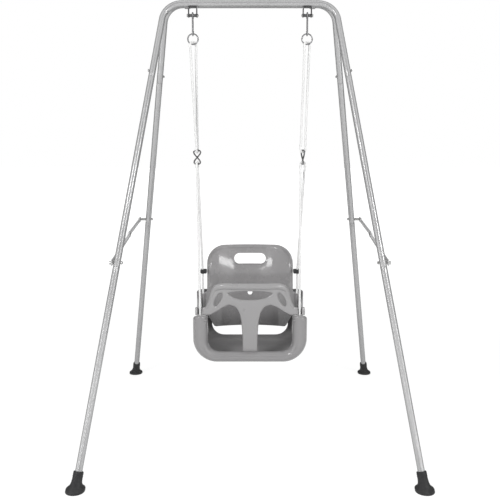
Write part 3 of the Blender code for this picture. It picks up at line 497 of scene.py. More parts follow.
# Which points lie inside a closed outline, by counting the edges that a level ray crosses.
def insideOf(points, loop):
    a = loop[None]
    b = np.roll(loop, -1, 0)[None]
    u = points[:, None, 0]
    v = points[:, None, 1]
    crosses = (a[..., 1] > v) != (b[..., 1] > v)
    rise = np.where(b[..., 1] == a[..., 1], 1e-12, b[..., 1] - a[..., 1])
    at = a[..., 0] + (v - a[..., 1]) * (b[..., 0] - a[..., 0]) / rise
    return (np.sum(crosses & (u < at), axis=1) % 2) == 1


# A staggered grid of points inside the first inset and outside the others, clear of all of them.
def fillPoints(outline, insets, spacing):
    low, high = outline.min(0), outline.max(0)
    rows, columns = np.arange(low[0], high[0], spacing), np.arange(low[1], high[1], spacing * 0.9)
    u, v = np.meshgrid(rows, columns, indexing="ij")
    u = u + (np.arange(u.shape[1]) % 2) * spacing / 2
    inner = np.stack([u.reshape(-1), v.reshape(-1)], -1)
    for number, inset in enumerate(insets):
        inner = inner[insideOf(inner, inset) == (number == 0)]
        inner = inner[distanceTo(inner, inset) > spacing * 0.6]
    return inner


# A sheet with holes and rounded edges. place(u, v, gaps, side) gives the point of the sheet at (u, v):
# gaps are its distances from the outline and from each hole, side goes from 1 on the front over 0 on
# the rim to -1 on the back.
def slab(outline, holes, edge, spacing, place, rimSteps=9):
    loops = [outline, *[hole[::-1] for hole in holes]]
    inward = [tangents(loop, True)[:, ::-1] * (-1, 1) for loop in loops]
    insets = [loop + left * edge for loop, left in zip(loops, inward)]
    flat = np.concatenate([*insets, fillPoints(outline, insets, spacing)])
    edges = []
    offset = 0
    for inset in insets:
        k = np.arange(len(inset))
        edges.append(np.stack([offset + k, offset + (k + 1) % len(inset)], -1))
        offset += len(inset)
    edges = np.concatenate(edges).tolist()
    found = geometry.delaunay_2d_cdt([Vector(p) for p in flat], edges, [], 0, 1e-7, False)
    sheet = np.array([tuple(p) for p in found[0]])
    triangles = np.array([tuple(f) for f in found[2] if len(f) == 3])
    middle = sheet[triangles].mean(1)
    keep = insideOf(middle, insets[0])
    for inset in insets[1:]:
        keep &= ~insideOf(middle, inset)
    triangles = triangles[keep]
    a, b, c = sheet[triangles[:, 0]], sheet[triangles[:, 1]], sheet[triangles[:, 2]]
    turn = (b[:, 0] - a[:, 0]) * (c[:, 1] - a[:, 1]) - (b[:, 1] - a[:, 1]) * (c[:, 0] - a[:, 0])
    triangles[turn < 0] = triangles[turn < 0][:, ::-1]
    gaps = np.maximum([distanceTo(sheet, loop) for loop in loops], edge)
    front = place(sheet[:, 0], sheet[:, 1], gaps, np.ones(len(sheet)))
    back = place(sheet[:, 0], sheet[:, 1], gaps, -np.ones(len(sheet)))
    parts = [(front, triangles), (back, triangles[:, ::-1])]
    angle = np.linspace(0, math.pi, rimSteps)
    for k, (loop, left) in enumerate(zip(loops, inward)):
        inset = edge * (1 - np.sin(angle))
        ring = (loop[None] + left[None] * inset[:, None, None]).reshape(-1, 2)
        side = np.repeat(np.cos(angle), len(loop))
        gaps = np.maximum([distanceTo(ring, other) for other in loops], edge)
        gaps[k] = np.repeat(inset, len(loop))
        points = place(ring[:, 0], ring[:, 1], gaps, side)
        parts.append((points, gridFaces(rimSteps, len(loop), wrapColumns=True)))
    return joined(*parts)


# A smooth curve through a table's points: between two of them a cubic whose slopes come from their
# neighbours.
def smoothTable(x, xs, ys):
    xs = np.asarray(xs, float)
    ys = np.asarray(ys, float)
    slope = np.gradient(ys, xs)
    k = np.clip(np.searchsorted(xs, x, side="right") - 1, 0, len(xs) - 2)
    width = xs[k + 1] - xs[k]
    t = (x - xs[k]) / width
    return (
        ys[k] * (2 * t**3 - 3 * t**2 + 1)
        + slope[k] * width * (t**3 - 2 * t**2 + t)
        + ys[k + 1] * (3 * t**2 - 2 * t**3)
        + slope[k + 1] * width * (t**3 - t**2)
    )


# A material with Blender's own shader in it, for the finishes below.
def newMaterial(name):
    material = bpy.data.materials.new(name)
    material.use_nodes = True
    nodes = material.node_tree.nodes
    return material, nodes, material.node_tree.links, nodes["Principled BSDF"]


noiseScales = {
    "paintGloss": 60.0, "drawnLines": 700.0, "mouldGloss": 22.0, "mouldSwell": 14.0,
    "rubberDust": 35.0, "rubberGloss": 90.0, "rubberGrain": 900.0, "ropeFibre": 1800.0,
}
noiseRoughness = 0.55
bumpDepths = {"fine": 0.0001, "skin": 0.0002, "swell": 0.002}


# A noise pattern on the piece's own coordinates.
def noiseNode(nodes, links, scale, detail=3.0, stretch=(1, 1, 1)):
    place = nodes.new("ShaderNodeTexCoord")
    mapping = nodes.new("ShaderNodeMapping")
    mapping.inputs["Scale"].default_value = stretch
    noise = nodes.new("ShaderNodeTexNoise")
    noise.inputs["Scale"].default_value = scale
    noise.inputs["Detail"].default_value = detail
    noise.inputs["Roughness"].default_value = noiseRoughness
    links.new(place.outputs["Object"], mapping.inputs["Vector"])
    links.new(mapping.outputs["Vector"], noise.inputs["Vector"])
    return noise.outputs["Fac"]


# The source turned into a value or colour between low and high.
def ramp(nodes, links, source, low, high, start=0.3, end=0.7):
    node = nodes.new("ShaderNodeValToRGB")
    node.color_ramp.elements[0].position = start
    node.color_ramp.elements[1].position = end
    node.color_ramp.elements[0].color = (*low, 1.0)
    node.color_ramp.elements[1].color = (*high, 1.0)
    links.new(source, node.inputs["Fac"])
    return node.outputs["Color"]


# Height turned into a bump on the shader, on top of another bump where one is given.
def bumpNode(nodes, links, shader, height, strength, distance, below=None):
    bump = nodes.new("ShaderNodeBump")
    bump.inputs["Strength"].default_value = strength
    bump.inputs["Distance"].default_value = distance
    links.new(height, bump.inputs["Height"])
    if below is not None:
        links.new(below, bump.inputs["Normal"])
    links.new(bump.outputs["Normal"], shader.inputs["Normal"])
    return bump.outputs["Normal"]


# One colour times another, by the given share.
def multiplied(nodes, links, first, second, share=1.0):
    mix = nodes.new("ShaderNodeMix")
    mix.data_type = "RGBA"
    mix.blend_type = "MULTIPLY"
    mix.inputs["Factor"].default_value = share
    links.new(first, mix.inputs["A"])
    links.new(second, mix.inputs["B"])
    return mix.outputs["Result"]


# The colour a share darker and the same share lighter.
def spread(colour, share):
    return tuple(min(1.0, c * (1 - share)) for c in colour), tuple(min(1.0, c * (1 + share)) for c in colour)


# The shader's colour or another input follows a noise, between two levels.
def clouded(nodes, links, noise, levels, socket):
    links.new(ramp(nodes, links, noise, *levels), socket)


# A roughness that wanders between two shares of its value.
def unevenGloss(nodes, links, shader, noise, roughness, least, most):
    levels = (roughness * least,) * 3, (roughness * most,) * 3
    clouded(nodes, links, noise, levels, shader.inputs["Roughness"])


# Sprayed paint on steel: faint cloudiness, painted shade that darkens the colour where the surface turns away
# from the camera, orange peel and fine grains.
def paintFinish(name, look):
    material, nodes, links, shader = newMaterial(name)
    cloud = noiseNode(nodes, links, look["cloudScale"])
    colour = ramp(nodes, links, cloud, *spread(look["colour"], look["cloudiness"]))
    # Painted shade: where the surface turns away from the camera, the colour is multiplied down to the look's
    # edge level.
    turned = nodes.new("ShaderNodeLayerWeight")
    turned.inputs["Blend"].default_value = 0.5
    shade = ramp(nodes, links, turned.outputs["Facing"], (1, 1, 1), (look["edge"],) * 3, 0.25, 0.8)
    links.new(multiplied(nodes, links, colour, shade), shader.inputs["Base Color"])
    shader.inputs["Specular IOR Level"].default_value = look["shine"]
    shader.inputs["Metallic"].default_value = look["metallic"]
    rough = noiseNode(nodes, links, noiseScales["paintGloss"])
    unevenGloss(nodes, links, shader, rough, look["roughness"], 0.93, 1.07)
    peel = noiseNode(nodes, links, look["peelScale"], 2.0)
    grain = noiseNode(nodes, links, look["grainScale"], 1.0)
    first = bumpNode(nodes, links, shader, peel, look["peel"], bumpDepths["skin"])
    bumpNode(nodes, links, shader, grain, look["grain"], bumpDepths["fine"], first)
    return material


# Plated steel: a soft mottle in colour and gloss, and fine drawing lines.
def platedFinish(name, look):
    material, nodes, links, shader = newMaterial(name)
    mottle = noiseNode(nodes, links, look["mottleScale"], 4.0)
    clouded(nodes, links, mottle, spread(look["colour"], look["mottle"]), shader.inputs["Base Color"])
    rough = noiseNode(nodes, links, look["mottleScale"] * 3)
    unevenGloss(nodes, links, shader, rough, look["roughness"], 0.7, 1.3)
    shader.inputs["Metallic"].default_value = 1.0
    lines = noiseNode(nodes, links, noiseScales["drawnLines"], 2.0, stretch=(1, 1, 0.12))
    bumpNode(nodes, links, shader, lines, look["lines"], bumpDepths["fine"])
    return material


# A value that runs from one level to another between two places along an axis of the piece.
def alongAxis(nodes, links, axis, places, levels):
    place = nodes.new("ShaderNodeTexCoord")
    split = nodes.new("ShaderNodeSeparateXYZ")
    links.new(place.outputs["Object"], split.inputs["Vector"])
    return between(nodes, links, split.outputs[axis], places, levels)


# Moulded plastic: faint flow marks, a pebbled skin and slightly uneven gloss. A foot shade stands for a
# shadow in the photo that the lamps don't give: darker from its upper height down to its lower one. With
# a gloss front the coat rises from one place along Y to the other.
def mouldedFinish(name, look):
    material, nodes, links, shader = newMaterial(name)
    flow = noiseNode(nodes, links, look["flowScale"], 4.0, stretch=(1, 1, 0.5))
    colour = ramp(nodes, links, flow, *spread(look["colour"], look["flow"]))
    if "footShade" in look:
        bottom, top, dark = look["footShade"]
        colour = multiplied(nodes, links, colour, alongAxis(nodes, links, "Z", (bottom, top), (dark, 1.0)))
    links.new(colour, shader.inputs["Base Color"])
    rough = noiseNode(nodes, links, noiseScales["mouldGloss"], 4.0)
    unevenGloss(nodes, links, shader, rough, look["roughness"], 0.85, 1.2)
    pebble = noiseNode(nodes, links, look["pebbleScale"], 2.0)
    swell = noiseNode(nodes, links, noiseScales["mouldSwell"], 1.0)
    first = bumpNode(nodes, links, shader, swell, look["swell"], bumpDepths["swell"])
    bumpNode(nodes, links, shader, pebble, look["pebble"], bumpDepths["fine"], first)
    shader.inputs["Specular IOR Level"].default_value = look["shine"]
    if "glossFront" in look:
        coat = alongAxis(nodes, links, "Y", look["glossFront"], (look["coat"], look["frontCoat"]))
        links.new(coat, shader.inputs["Coat Weight"])
    else:
        shader.inputs["Coat Weight"].default_value = look["coat"]
    shader.inputs["Coat Roughness"].default_value = look["coatRoughness"]
    return material


# Braided cord: painted shade, darker where the strands dive and lighter on their backs, with fine fibres.
def ropeFinish(look):
    material, nodes, links, shader = newMaterial("whiteRope")
    crown = nodes.new("ShaderNodeAttribute")
    crown.attribute_name = "crown"
    # Painted shade: the braid's height darkens the colour between the strands.
    shade = ramp(nodes, links, crown.outputs["Fac"], look["valley"], look["back"], 0.35, 0.85)
    fibre = noiseNode(nodes, links, noiseScales["ropeFibre"], 2.0)
    tint = ramp(nodes, links, fibre, (0.9, 0.9, 0.895), (1, 1, 1))
    links.new(multiplied(nodes, links, shade, tint, 0.3), shader.inputs["Base Color"])
    shader.inputs["Roughness"].default_value = 0.78
    shader.inputs["Sheen Weight"].default_value = 0.25
    shader.inputs["Sheen Roughness"].default_value = 0.5
    bumpNode(nodes, links, shader, fibre, 0.5, bumpDepths["skin"])
    return material


# Matt rubber: uneven gloss, dusty patches and a fine grain.
def rubberFinish(look):
    material, nodes, links, shader = newMaterial("blackRubber")
    dust = noiseNode(nodes, links, noiseScales["rubberDust"], 5.0)
    links.new(ramp(nodes, links, dust, look["colour"], look["dust"], 0.45, 0.8), shader.inputs["Base Color"])
    rough = noiseNode(nodes, links, noiseScales["rubberGloss"])
    clouded(nodes, links, rough, ((0.5,) * 3, (0.72,) * 3), shader.inputs["Roughness"])
    grain = noiseNode(nodes, links, noiseScales["rubberGrain"], 2.0)
    bumpNode(nodes, links, shader, grain, 0.35, bumpDepths["skin"])
    return material


looks = {
    "greySteel": {
        "colour": (0.45, 0.45, 0.453), "cloudScale": 9.0, "cloudiness": 0.03, "metallic": 0.4,
        # edge is the level of the painted shade where the paint turns away from the camera.
        "roughness": 0.22, "edge": 0.55, "shine": 0.25,
        "peelScale": 150.0, "peel": 0.01, "grainScale": 1600.0, "grain": 0.005,
    },
    # The arms' colour is painted light: lighter than the frame's paint of the same steel, and with no painted
    # edge shade.
    "arm": {"colour": (0.72, 0.72, 0.724), "edge": 1.0},  # what differs from the grey steel
    "bolts": {
        "colour": (0.40, 0.40, 0.396), "mottleScale": 260.0, "mottle": 0.1, "roughness": 0.24, "lines": 0.15,
    },
    # A darker copy of the plating as painted shade: it stands in for the dark reflections of the bright metal
    # on the stirrups and the connectors.
    "shadedPlate": {
        "colour": (0.17, 0.17, 0.172), "mottleScale": 160.0, "mottle": 0.08, "roughness": 0.2, "lines": 0.1,
    },
    "hardware": {
        "colour": (0.33, 0.33, 0.335), "mottleScale": 160.0, "mottle": 0.06, "roughness": 0.13, "lines": 0.06,
    },
    "seat": {
        "colour": (0.245, 0.24, 0.243), "flowScale": 5.0, "flow": 0.035, "roughness": 0.24,
        "pebbleScale": 1500.0, "pebble": 0.03, "swell": 0.03, "shine": 0.4,
        "coat": 0.8, "coatRoughness": 0.07,
    },
    # The backrest is moulded from the seat's plastic. Its lighter colour here is painted light, and its foot
    # shade is a painted shadow.
    "back": {
        "colour": (0.262, 0.256, 0.259), "flowScale": 5.0, "flow": 0.03, "roughness": 0.26,
        "pebbleScale": 1500.0, "pebble": 0.02, "swell": 0.02, "shine": 0.4,
        "coat": 0.9, "coatRoughness": 0.045, "footShade": (0.33, 0.43, 0.6),
    },
    "tub": {
        "colour": (0.245, 0.24, 0.243), "flowScale": 5.0, "flow": 0.035, "roughness": 0.42,
        "pebbleScale": 1500.0, "pebble": 0.08, "swell": 0.05, "shine": 0.3,
        "coat": 0.1, "coatRoughness": 0.06, "glossFront": (-0.03, -0.105), "frontCoat": 0.9,
    },
    "guard": {
        "colour": (0.295, 0.29, 0.293), "flowScale": 6.0, "flow": 0.03, "roughness": 0.3,
        "pebbleScale": 1500.0, "pebble": 0.06, "swell": 0.03, "shine": 0.4,
        "coat": 0.7, "coatRoughness": 0.08,
    },
    "black": {
        "colour": (0.02, 0.02, 0.021), "flowScale": 30.0, "flow": 0.1, "roughness": 0.42,
        "pebbleScale": 1200.0, "pebble": 0.3, "swell": 0.05, "shine": 0.5,
        "coat": 0.1, "coatRoughness": 0.25,
    },
    "sleeve": {
        "colour": (0.11, 0.11, 0.112), "flowScale": 30.0, "flow": 0.1, "roughness": 0.36,
        "pebbleScale": 1200.0, "pebble": 0.2, "swell": 0.05, "shine": 0.5,
        "coat": 0.1, "coatRoughness": 0.25,
    },
    "rubber": {"colour": (0.014, 0.014, 0.015), "dust": (0.03, 0.03, 0.029)},
    # The rope's painted shade: the colour between the strands, and the one on their backs.
    "rope": {"valley": (0.72, 0.72, 0.717), "back": (0.85, 0.85, 0.848)},
}
finishes = {
    "grey_steel": paintFinish("greySteel", looks["greySteel"]),
    "bolts": platedFinish("platedBolts", looks["bolts"]),
    "bright_hardware": platedFinish("brightHardware", looks["hardware"]),
    "seat_plastic": mouldedFinish("seatPlastic", looks["seat"]),
    "guard_plastic": mouldedFinish("guardPlastic", looks["guard"]),
    "black_plastic": mouldedFinish("blackPlastic", looks["black"]),
    "black_rubber": rubberFinish(looks["rubber"]),
    "white_rope": ropeFinish(looks["rope"]),
}
# The brace arms' paint: the grey steel made lighter as painted light.
armPaintedLightFinish = paintFinish("armSteel", looks["greySteel"] | looks["arm"])
shadedPlateFinish = platedFinish("shadedPlate", looks["shadedPlate"])
backLightAndShadeFinish = mouldedFinish("backPlasticLightAndShade", looks["back"])
tubFinish = mouldedFinish("tubPlastic", looks["tub"])
sleeveFinish = mouldedFinish("sleevePlastic", looks["sleeve"])
for subpart in frame["record"]["subparts"]:
    node = frame["nodes"][subpart["node"]]
    node.data.materials.clear()
    node.data.materials.append(finishes[subpart["material_slot"]])
print("finishes made")


# The foot's middle on the ground, the corner where a leg's axis meets the bar's, the direction from one
# to the other, and a place on the way.
def legFoot(label, side):
    return np.array([side * stand["footSpacing"] / 2, frames[label] * stand["footDepth"] / 2, 0.0])


def legCorner(label, side):
    return np.array([side * stand["cornerSpacing"] / 2, frames[label] * stand["halfBarSpacing"], barZ])


def legAxis(label, side):
    return unit(legCorner(label, side) - legFoot(label, side))


def onLeg(label, side, distance):
    return legFoot(label, side) + legAxis(label, side) * distance


# What hangs from the front bar and where the ropes run. The lower ones' stops lie under the seat's webs.
hanging = {
    "spacing": 0.3785,
    "y": -0.01195,
    "pinZ": 1.401,
    "ringZ": 1.32535,
    "ringRadius": 0.017,
    "ringWire": 0.0045,
    "connectorZ": 0.937,
    "connectorRadius": 0.0118,
    "connectorWire": 0.005,
    "connectorTurn": {"left": 12.0, "right": 78.0},
    "frontRope": (0.165, -0.136),
    "rearRope": (0.170, 0.082),
    "frontWebTop": 0.404,
    "rearWebTop": 0.363,
    "webThickness": 0.006,
    "webDepth": 0.025,
    "clipX": 0.171,
    "clipY": 0.089,
    "clipZ": 0.527,
    "sleeveTop": 0.448,
}
rope = {
    "diameter": 0.008,
    "slack": 0.0003,
    "ringSlack": 0.0007,
    "spread": 0.0085,
    "step": 0.034,
    "swell": 0.35,
    "strands": 6,
    "lay": 1260.0,
    "crown": 0.00055,
    "sides": 30,
    "spacing": 0.0009,
    "end": 0.002,
    "smoothAngle": 60.0,
    "turnMiddle": 47.0,
    "aboveWeb": 0.002,
    "knot": 0.00185,
    "knotHeight": 1.35,
    "knotRope": 0.0034,
    "knotSteps": 240,
    "knotSides": 20,
    "knotDrop": 0.009,
}
upward = np.array([0.0, 0.0, 1.0])
gap = 0.0003  # between pieces that almost touch


# How far from the middle the rope hangs at a height.
def ropeX(z):
    top = hanging["ringZ"] - hanging["ringRadius"]
    share = (z - hanging["frontWebTop"]) / (top - hanging["frontWebTop"])
    return hanging["frontRope"][0] + share * (hanging["spacing"] / 2 - hanging["frontRope"][0])


# Half a turn round a wire: middle - sweep cos a, and rise sin a upward, for a from 0 to half a turn.
def bightPoints(middle, sweep, rise):
    angle = np.linspace(0, math.pi, 9)[:, None]
    return middle - sweep * np.cos(angle) + upward * rise * np.sin(angle)


# The way a connector's wires face, and the way across them.
def connectorAxes(sideName):
    turn = math.radians(hanging["connectorTurn"][sideName])
    return np.array([math.sin(turn), math.cos(turn), 0.0]), np.array([math.cos(turn), -math.sin(turn), 0.0])


# A place on the rope's line at the connector, this many of its radii above its middle.
def connectorSpot(sideName, radii=0):
    height = hanging["connectorZ"] + radii * hanging["connectorRadius"]
    return np.array([bothSides[sideName] * ropeX(hanging["connectorZ"]), hanging["y"], height])


# A place under a stirrup at a height.
def hangerSpot(sideName, z):
    return np.array([bothSides[sideName] * hanging["spacing"] / 2, hanging["y"], z])


# Points between two ends along a faint S: the sideways share falls behind the height and then runs
# ahead of it.
def strandPoints(start, end):
    count = round(float(np.linalg.norm(end - start)) / rope["step"])
    t = (np.arange(1, count) / count)[:, None]
    share = t + rope["swell"] * (eased(t) - t)
    points = start + (end - start) * share
    points[:, 2:] = start[2] + (end[2] - start[2]) * t
    return points


# Points at even distances from one end to the other.
def linePoints(start, end):
    count = max(1, round(float(np.linalg.norm(end - start)) / rope["step"]))
    return start + (end - start) * (np.arange(count + 1) / count)[:, None]


# A closed loop: over the ring's lowest wire, down, under the connector's highest wire and up again.
def upperRopeRoute(sideName):
    radius = rope["diameter"] / 2
    over = hanging["ringWire"] / 2 + radius + gap + rope["ringSlack"]
    under = hanging["connectorWire"] / 2 + radius + gap + rope["slack"]
    topSweep = np.array([rope["spread"], over + rope["ringSlack"], 0.0])
    lowSweep = connectorAxes(sideName)[0] * (under + rope["slack"])
    above = bightPoints(hangerSpot(sideName, hanging["ringZ"] - hanging["ringRadius"]), topSweep, over)
    below = bightPoints(connectorSpot(sideName, 2), -lowSweep, -under)
    down, up = strandPoints(above[-1], below[0]), strandPoints(below[-1], above[0])
    return np.concatenate([above, down, below, up])


# From the stop under the front web over the connector's lowest wire, through the clip and the
# backrest's sleeve to the stop under the rear web.
def lowerRopeRoute(sideName):
    side = bothSides[sideName]
    over = hanging["connectorWire"] / 2 + rope["diameter"] / 2 + gap + rope["slack"]
    sweep = connectorAxes(sideName)[0] * (over + rope["slack"])
    turnPoints = bightPoints(connectorSpot(sideName, -2), sweep, over)
    frontX, frontY = hanging["frontRope"]
    rearX, rearY = hanging["rearRope"]
    below = hanging["webThickness"] + gap
    frontLow = np.array([side * frontX, frontY, hanging["frontWebTop"] - below])
    frontTop = np.array([side * frontX, frontY, hanging["frontWebTop"] + rope["aboveWeb"]])
    atClip = np.array([side * hanging["clipX"], hanging["clipY"], hanging["clipZ"]])
    rearTop = np.array([side * rearX, rearY, hanging["sleeveTop"]])
    rearLow = np.array([side * rearX, rearY, hanging["rearWebTop"] - below])
    return np.concatenate([
        frontLow[None], linePoints(frontTop, turnPoints[0]), turnPoints[1:],
        linePoints(turnPoints[-1], atClip)[1:], linePoints(atClip, rearTop)[1:],
        linePoints(rearTop, rearLow)[1:],
    ])


# A smooth line through the points at even distances.
def smoothRoute(points, spacing, closed=False):
    pad = 3
    if closed:
        points = np.concatenate([points[-pad:], points, points[: pad + 1]])
    along = alongRoute(points)
    first, last = (along[pad], along[-pad - 1]) if closed else (0.0, along[-1])
    fine = np.linspace(first, last, round((last - first) / spacing) * 2)
    curve = np.stack([smoothTable(fine, along, points[:, k]) for k in range(3)], -1)
    curve = resampled(curve, spacing)
    return curve[:-1] if closed else curve


def routeLength(route, closed=False):
    ends = np.concatenate([route, route[:1]]) if closed else route
    return float(np.linalg.norm(np.diff(ends, axis=0), axis=1).sum())


# How high crossing strands stand, 0 to 1. With a = (strands x angle + lay x along) / 2 and b the same
# with minus, cos a cos b says which of the two is on top. The one on top rises as |cos a| or |cos b|.
def braidHeight(angle, along, lay):
    a = (rope["strands"] * angle + lay * along) / 2
    b = (rope["strands"] * angle - lay * along) / 2
    over = np.cos(a) * np.cos(b)
    return np.maximum(np.abs(np.cos(a)) * (1 + over) / 2, np.abs(np.cos(b)) * (1 - over) / 2)


# A braided tube round a route: its radius dips between the strands, and an open end is domed. Its
# frames are turned from a direction that the route never runs along.
def braided(route, reference, radius, closed, sides=rope["sides"]):
    tangent = tangents(route, closed)
    across = unit(np.cross(tangent, reference))
    up = np.cross(across, tangent)
    length = routeLength(route, closed)
    lay = rope["lay"]
    if closed:
        lay = 4 * math.pi * round(lay * length / (4 * math.pi)) / length
    count = len(route)
    along = np.arange(count)[:, None] * (length / (count if closed else count - 1))
    height = braidHeight(math.tau * np.arange(sides)[None, :] / sides, along, lay)
    radii = radius - rope["crown"] * (1 - height)
    if not closed:
        fromEnd = np.clip(np.minimum(along, length - along) / rope["end"], 0, 1)
        radii = radii * np.sqrt(np.clip(1 - (1 - fromEnd) ** 2, 0, 1))
    points = rings(route, across, up, radii, sides).reshape(-1, 3)
    return (points, gridFaces(count, sides, wrapRows=closed, wrapColumns=True)), height.reshape(-1)


# The two ropes of a side. Each one's reference lies across its turns.
def makeRopes(sideName):
    turn = hanging["connectorTurn"][sideName]
    middle = math.radians((turn + rope["turnMiddle"]) / 2)
    ropes = [
        ("upper", upperRopeRoute, (math.cos(middle), -math.sin(middle), 0.0)),
        ("lower", lowerRopeRoute, connectorAxes(sideName)[1]),
    ]
    diameter = rope["diameter"]
    for place, routeOf, reference in ropes:
        closed = place == "upper"
        route = smoothRoute(routeOf(sideName), rope["spacing"], closed)
        shape, height = braided(route, np.array(reference), diameter / 2, closed)
        node = f"{place}_rope_{sideName}"
        piece = makePiece(node, "swing", "white_rope", shape, rope["smoothAngle"], crown=height)


# A rope knot as a trefoil: x = sin t + 2 sin 2t, y = cos t - 2 cos 2t, z = -sin 3t by its height, all
# times its size.
def makeKnot(sideName, place, x, y, top):
    t = np.linspace(0, math.tau, rope["knotSteps"], endpoint=False)
    rise = -rope["knotHeight"] * np.sin(3 * t)
    curve = np.stack([np.sin(t) + 2 * np.sin(2 * t), np.cos(t) - 2 * np.cos(2 * t), rise], -1)
    curve = curve * rope["knot"]
    (points, faces), height = braided(curve, curve, rope["knotRope"], True, rope["knotSides"])
    low = top - hanging["webThickness"] - 2 * gap - rope["knotDrop"]
    points = points + np.array([bothSides[sideName] * x, y, low])
    node = f"rope_knot_{place}_{sideName}"
    name = f"ropeKnot_{place}_{sideName}"
    makePiece(node, "swing", "white_rope", (points, faces), rope["smoothAngle"], crown=height, name=name)


for sideLabel in bothSides:
    makeRopes(sideLabel)
    makeKnot(sideLabel, "front", *hanging["frontRope"], hanging["frontWebTop"])
    makeKnot(sideLabel, "rear", *hanging["rearRope"], hanging["rearWebTop"])
print("ropes made")

seat = {
    "halfWidth": 0.1905,
    "bottom": 0.2565,
    "wall": 0.004,
    "rollWidth": 0.050,
    "rollHeight": 0.0345,
    "rollDepth": 0.024,
    "rollCrown": 0.006,
    "rollBack": -0.127,
    "rollTop": 0.418,
    "rollCorner": 0.080,
    "topRound": 0.010,
    "topReach": 0.009,
    "cornerGrowth": 0.033,
    "cornerDrop": 0.026,
    "floor": 0.268,
    "earHalfWidth": 0.190,
    "earTop": 0.455,
    "rear": 0.119,
    "rearHalf": 0.142,
    "turnStart": 0.88,
    "widening": (0.92, 1.35),  # share of the way back where it ends, and its power
    "cornerGrowing": (0.75, 1.4),
    "bunching": 1.1,  # above 1, the rows stand closer together in front
    "slotHalf": 0.0265,
    "slotBack": -0.1054,
    "steps": {"wall": 22, "corner": 14, "floor": 12, "slot": 4, "roll": 26, "slotRows": 5, "tub": 44},
    "smoothAngle": 40.0,
}
# Share of the way back, how much higher the floor lies, share of the wall's rise to the ears.
tubShape = np.array([
    (0.00, 0.0230, 0.00), (0.10, 0.0092, 0.04), (0.20, 0.0023, 0.06), (0.40, 0.0, 0.14), (0.60, 0.0, 0.32),
    (0.75, 0.0, 0.60), (0.88, 0.0003, 0.88), (0.955, 0.0027, 1.0), (0.985, 0.0083, 1.0), (1.00, 0.0150, 0.97),
])


# The tub's cross-section at each station: down one wall, round its corner, over the floor and up the
# other.
def channelPoints(y, half, floor, corner, top):
    steps = seat["steps"]
    y, half, floor, corner, top = (np.asarray(v, float)[:, None] for v in (y, half, floor, corner, top))
    reach = half - corner
    wall = (np.arange(steps["wall"])[None] / steps["wall"]) ** 2
    angle = math.pi / 2 * np.arange(steps["corner"])[None] / steps["corner"]
    flat = np.arange(steps["floor"])[None] / steps["floor"]
    slot = np.arange(steps["slot"] + 1)[None] / steps["slot"]
    x = np.concatenate([
        half + 0 * wall, reach + corner * np.cos(angle), reach + (seat["slotHalf"] - reach) * flat,
        seat["slotHalf"] * (1 - slot) + 0 * reach,
    ], 1)
    z = np.concatenate([
        top + (floor + corner - top) * wall, floor + corner - corner * np.sin(angle),
        floor + 0 * flat, floor + 0 * slot,
    ], 1)
    x = np.concatenate([-x, x[:, -2::-1]], 1)
    z = np.concatenate([z, z[:, -2::-1]], 1)
    return np.stack([x, y + 0 * x, z], -1)


# 0 to 1 on the way to a share, ever slower: 1 less the power of what is left.
def slowing(share, end, power):
    return 1 - np.clip(1 - share / end, 0, 1) ** power


# A quarter circle from 0 to 1.
def quarterTurn(share):
    return 1 - np.sqrt(1 - np.clip(share, 0, 1) ** 2)


# The front roll, half a turn from its outer lip to the floor's edge. Its upper ends are drawn in towards
# the middle of the roll.
def frontRoll(rollTop):
    angle = np.linspace(0, math.pi, seat["steps"]["roll"])
    inward = (1 - np.cos(angle)) / 2
    roll = channelPoints(
        seat["rollBack"] - seat["rollDepth"] * np.sin(angle),
        seat["halfWidth"] - seat["rollWidth"] * inward,
        seat["bottom"] + seat["rollHeight"] * inward,
        seat["rollCorner"] - (seat["rollWidth"] + seat["rollHeight"]) / 2 * inward,
        rollTop + seat["rollCrown"] * np.sin(angle),
    )
    crest = roll[:, :1, 2:]
    over = quarterTurn(1 - (crest - roll[..., 2:]) / seat["topRound"])
    middle = seat["halfWidth"] - seat["rollWidth"] / 2
    target = np.stack([np.sign(roll[..., 0]) * middle, np.full(roll.shape[:2], seat["rollBack"])], -1)
    pull = target - roll[..., :2]
    pull = pull / np.maximum(np.linalg.norm(pull, axis=-1, keepdims=True), 1e-6)
    firm = np.clip(1 - (angle - math.pi / 2) / (math.pi / 2), 0, 1)[:, None, None]
    roll[..., :2] += pull * seat["topReach"] * over * firm
    return roll


# Stations from the roll's outer lip round its front and on to the rear lip.
def seatGrid():
    rollTop = seat["rollTop"] - seat["rollCrown"]
    span = seat["rear"] - seat["rollBack"]
    slotShare = (seat["slotBack"] - seat["rollBack"]) / span
    front = np.linspace(0, slotShare, seat["steps"]["slotRows"])[1:]
    turn = np.linspace(0, 1, seat["steps"]["tub"] + 1)[1:]
    behind = slotShare + (1 - slotShare) * np.sin(turn * math.pi / 2) ** seat["bunching"]
    share = np.concatenate([front, behind])
    inner = seat["halfWidth"] - seat["rollWidth"]
    innerCorner = seat["rollCorner"] - (seat["rollWidth"] + seat["rollHeight"]) / 2
    widen = slowing(share, *seat["widening"])
    turnIn = quarterTurn((share - seat["turnStart"]) / (1 - seat["turnStart"]))
    lift, rise = (smoothTable(share, tubShape[:, 0], tubShape[:, k]) for k in (1, 2))
    corner = innerCorner + seat["cornerGrowth"] * slowing(share, *seat["cornerGrowing"])
    tub = channelPoints(
        seat["rollBack"] + span * share,
        inner + (seat["earHalfWidth"] - inner) * widen - (seat["earHalfWidth"] - seat["rearHalf"]) * turnIn,
        seat["floor"] + lift,
        corner - seat["cornerDrop"] * turnIn,
        rollTop + (seat["earTop"] - rollTop) * rise,
    )
    return np.concatenate([frontRoll(rollTop), tub])


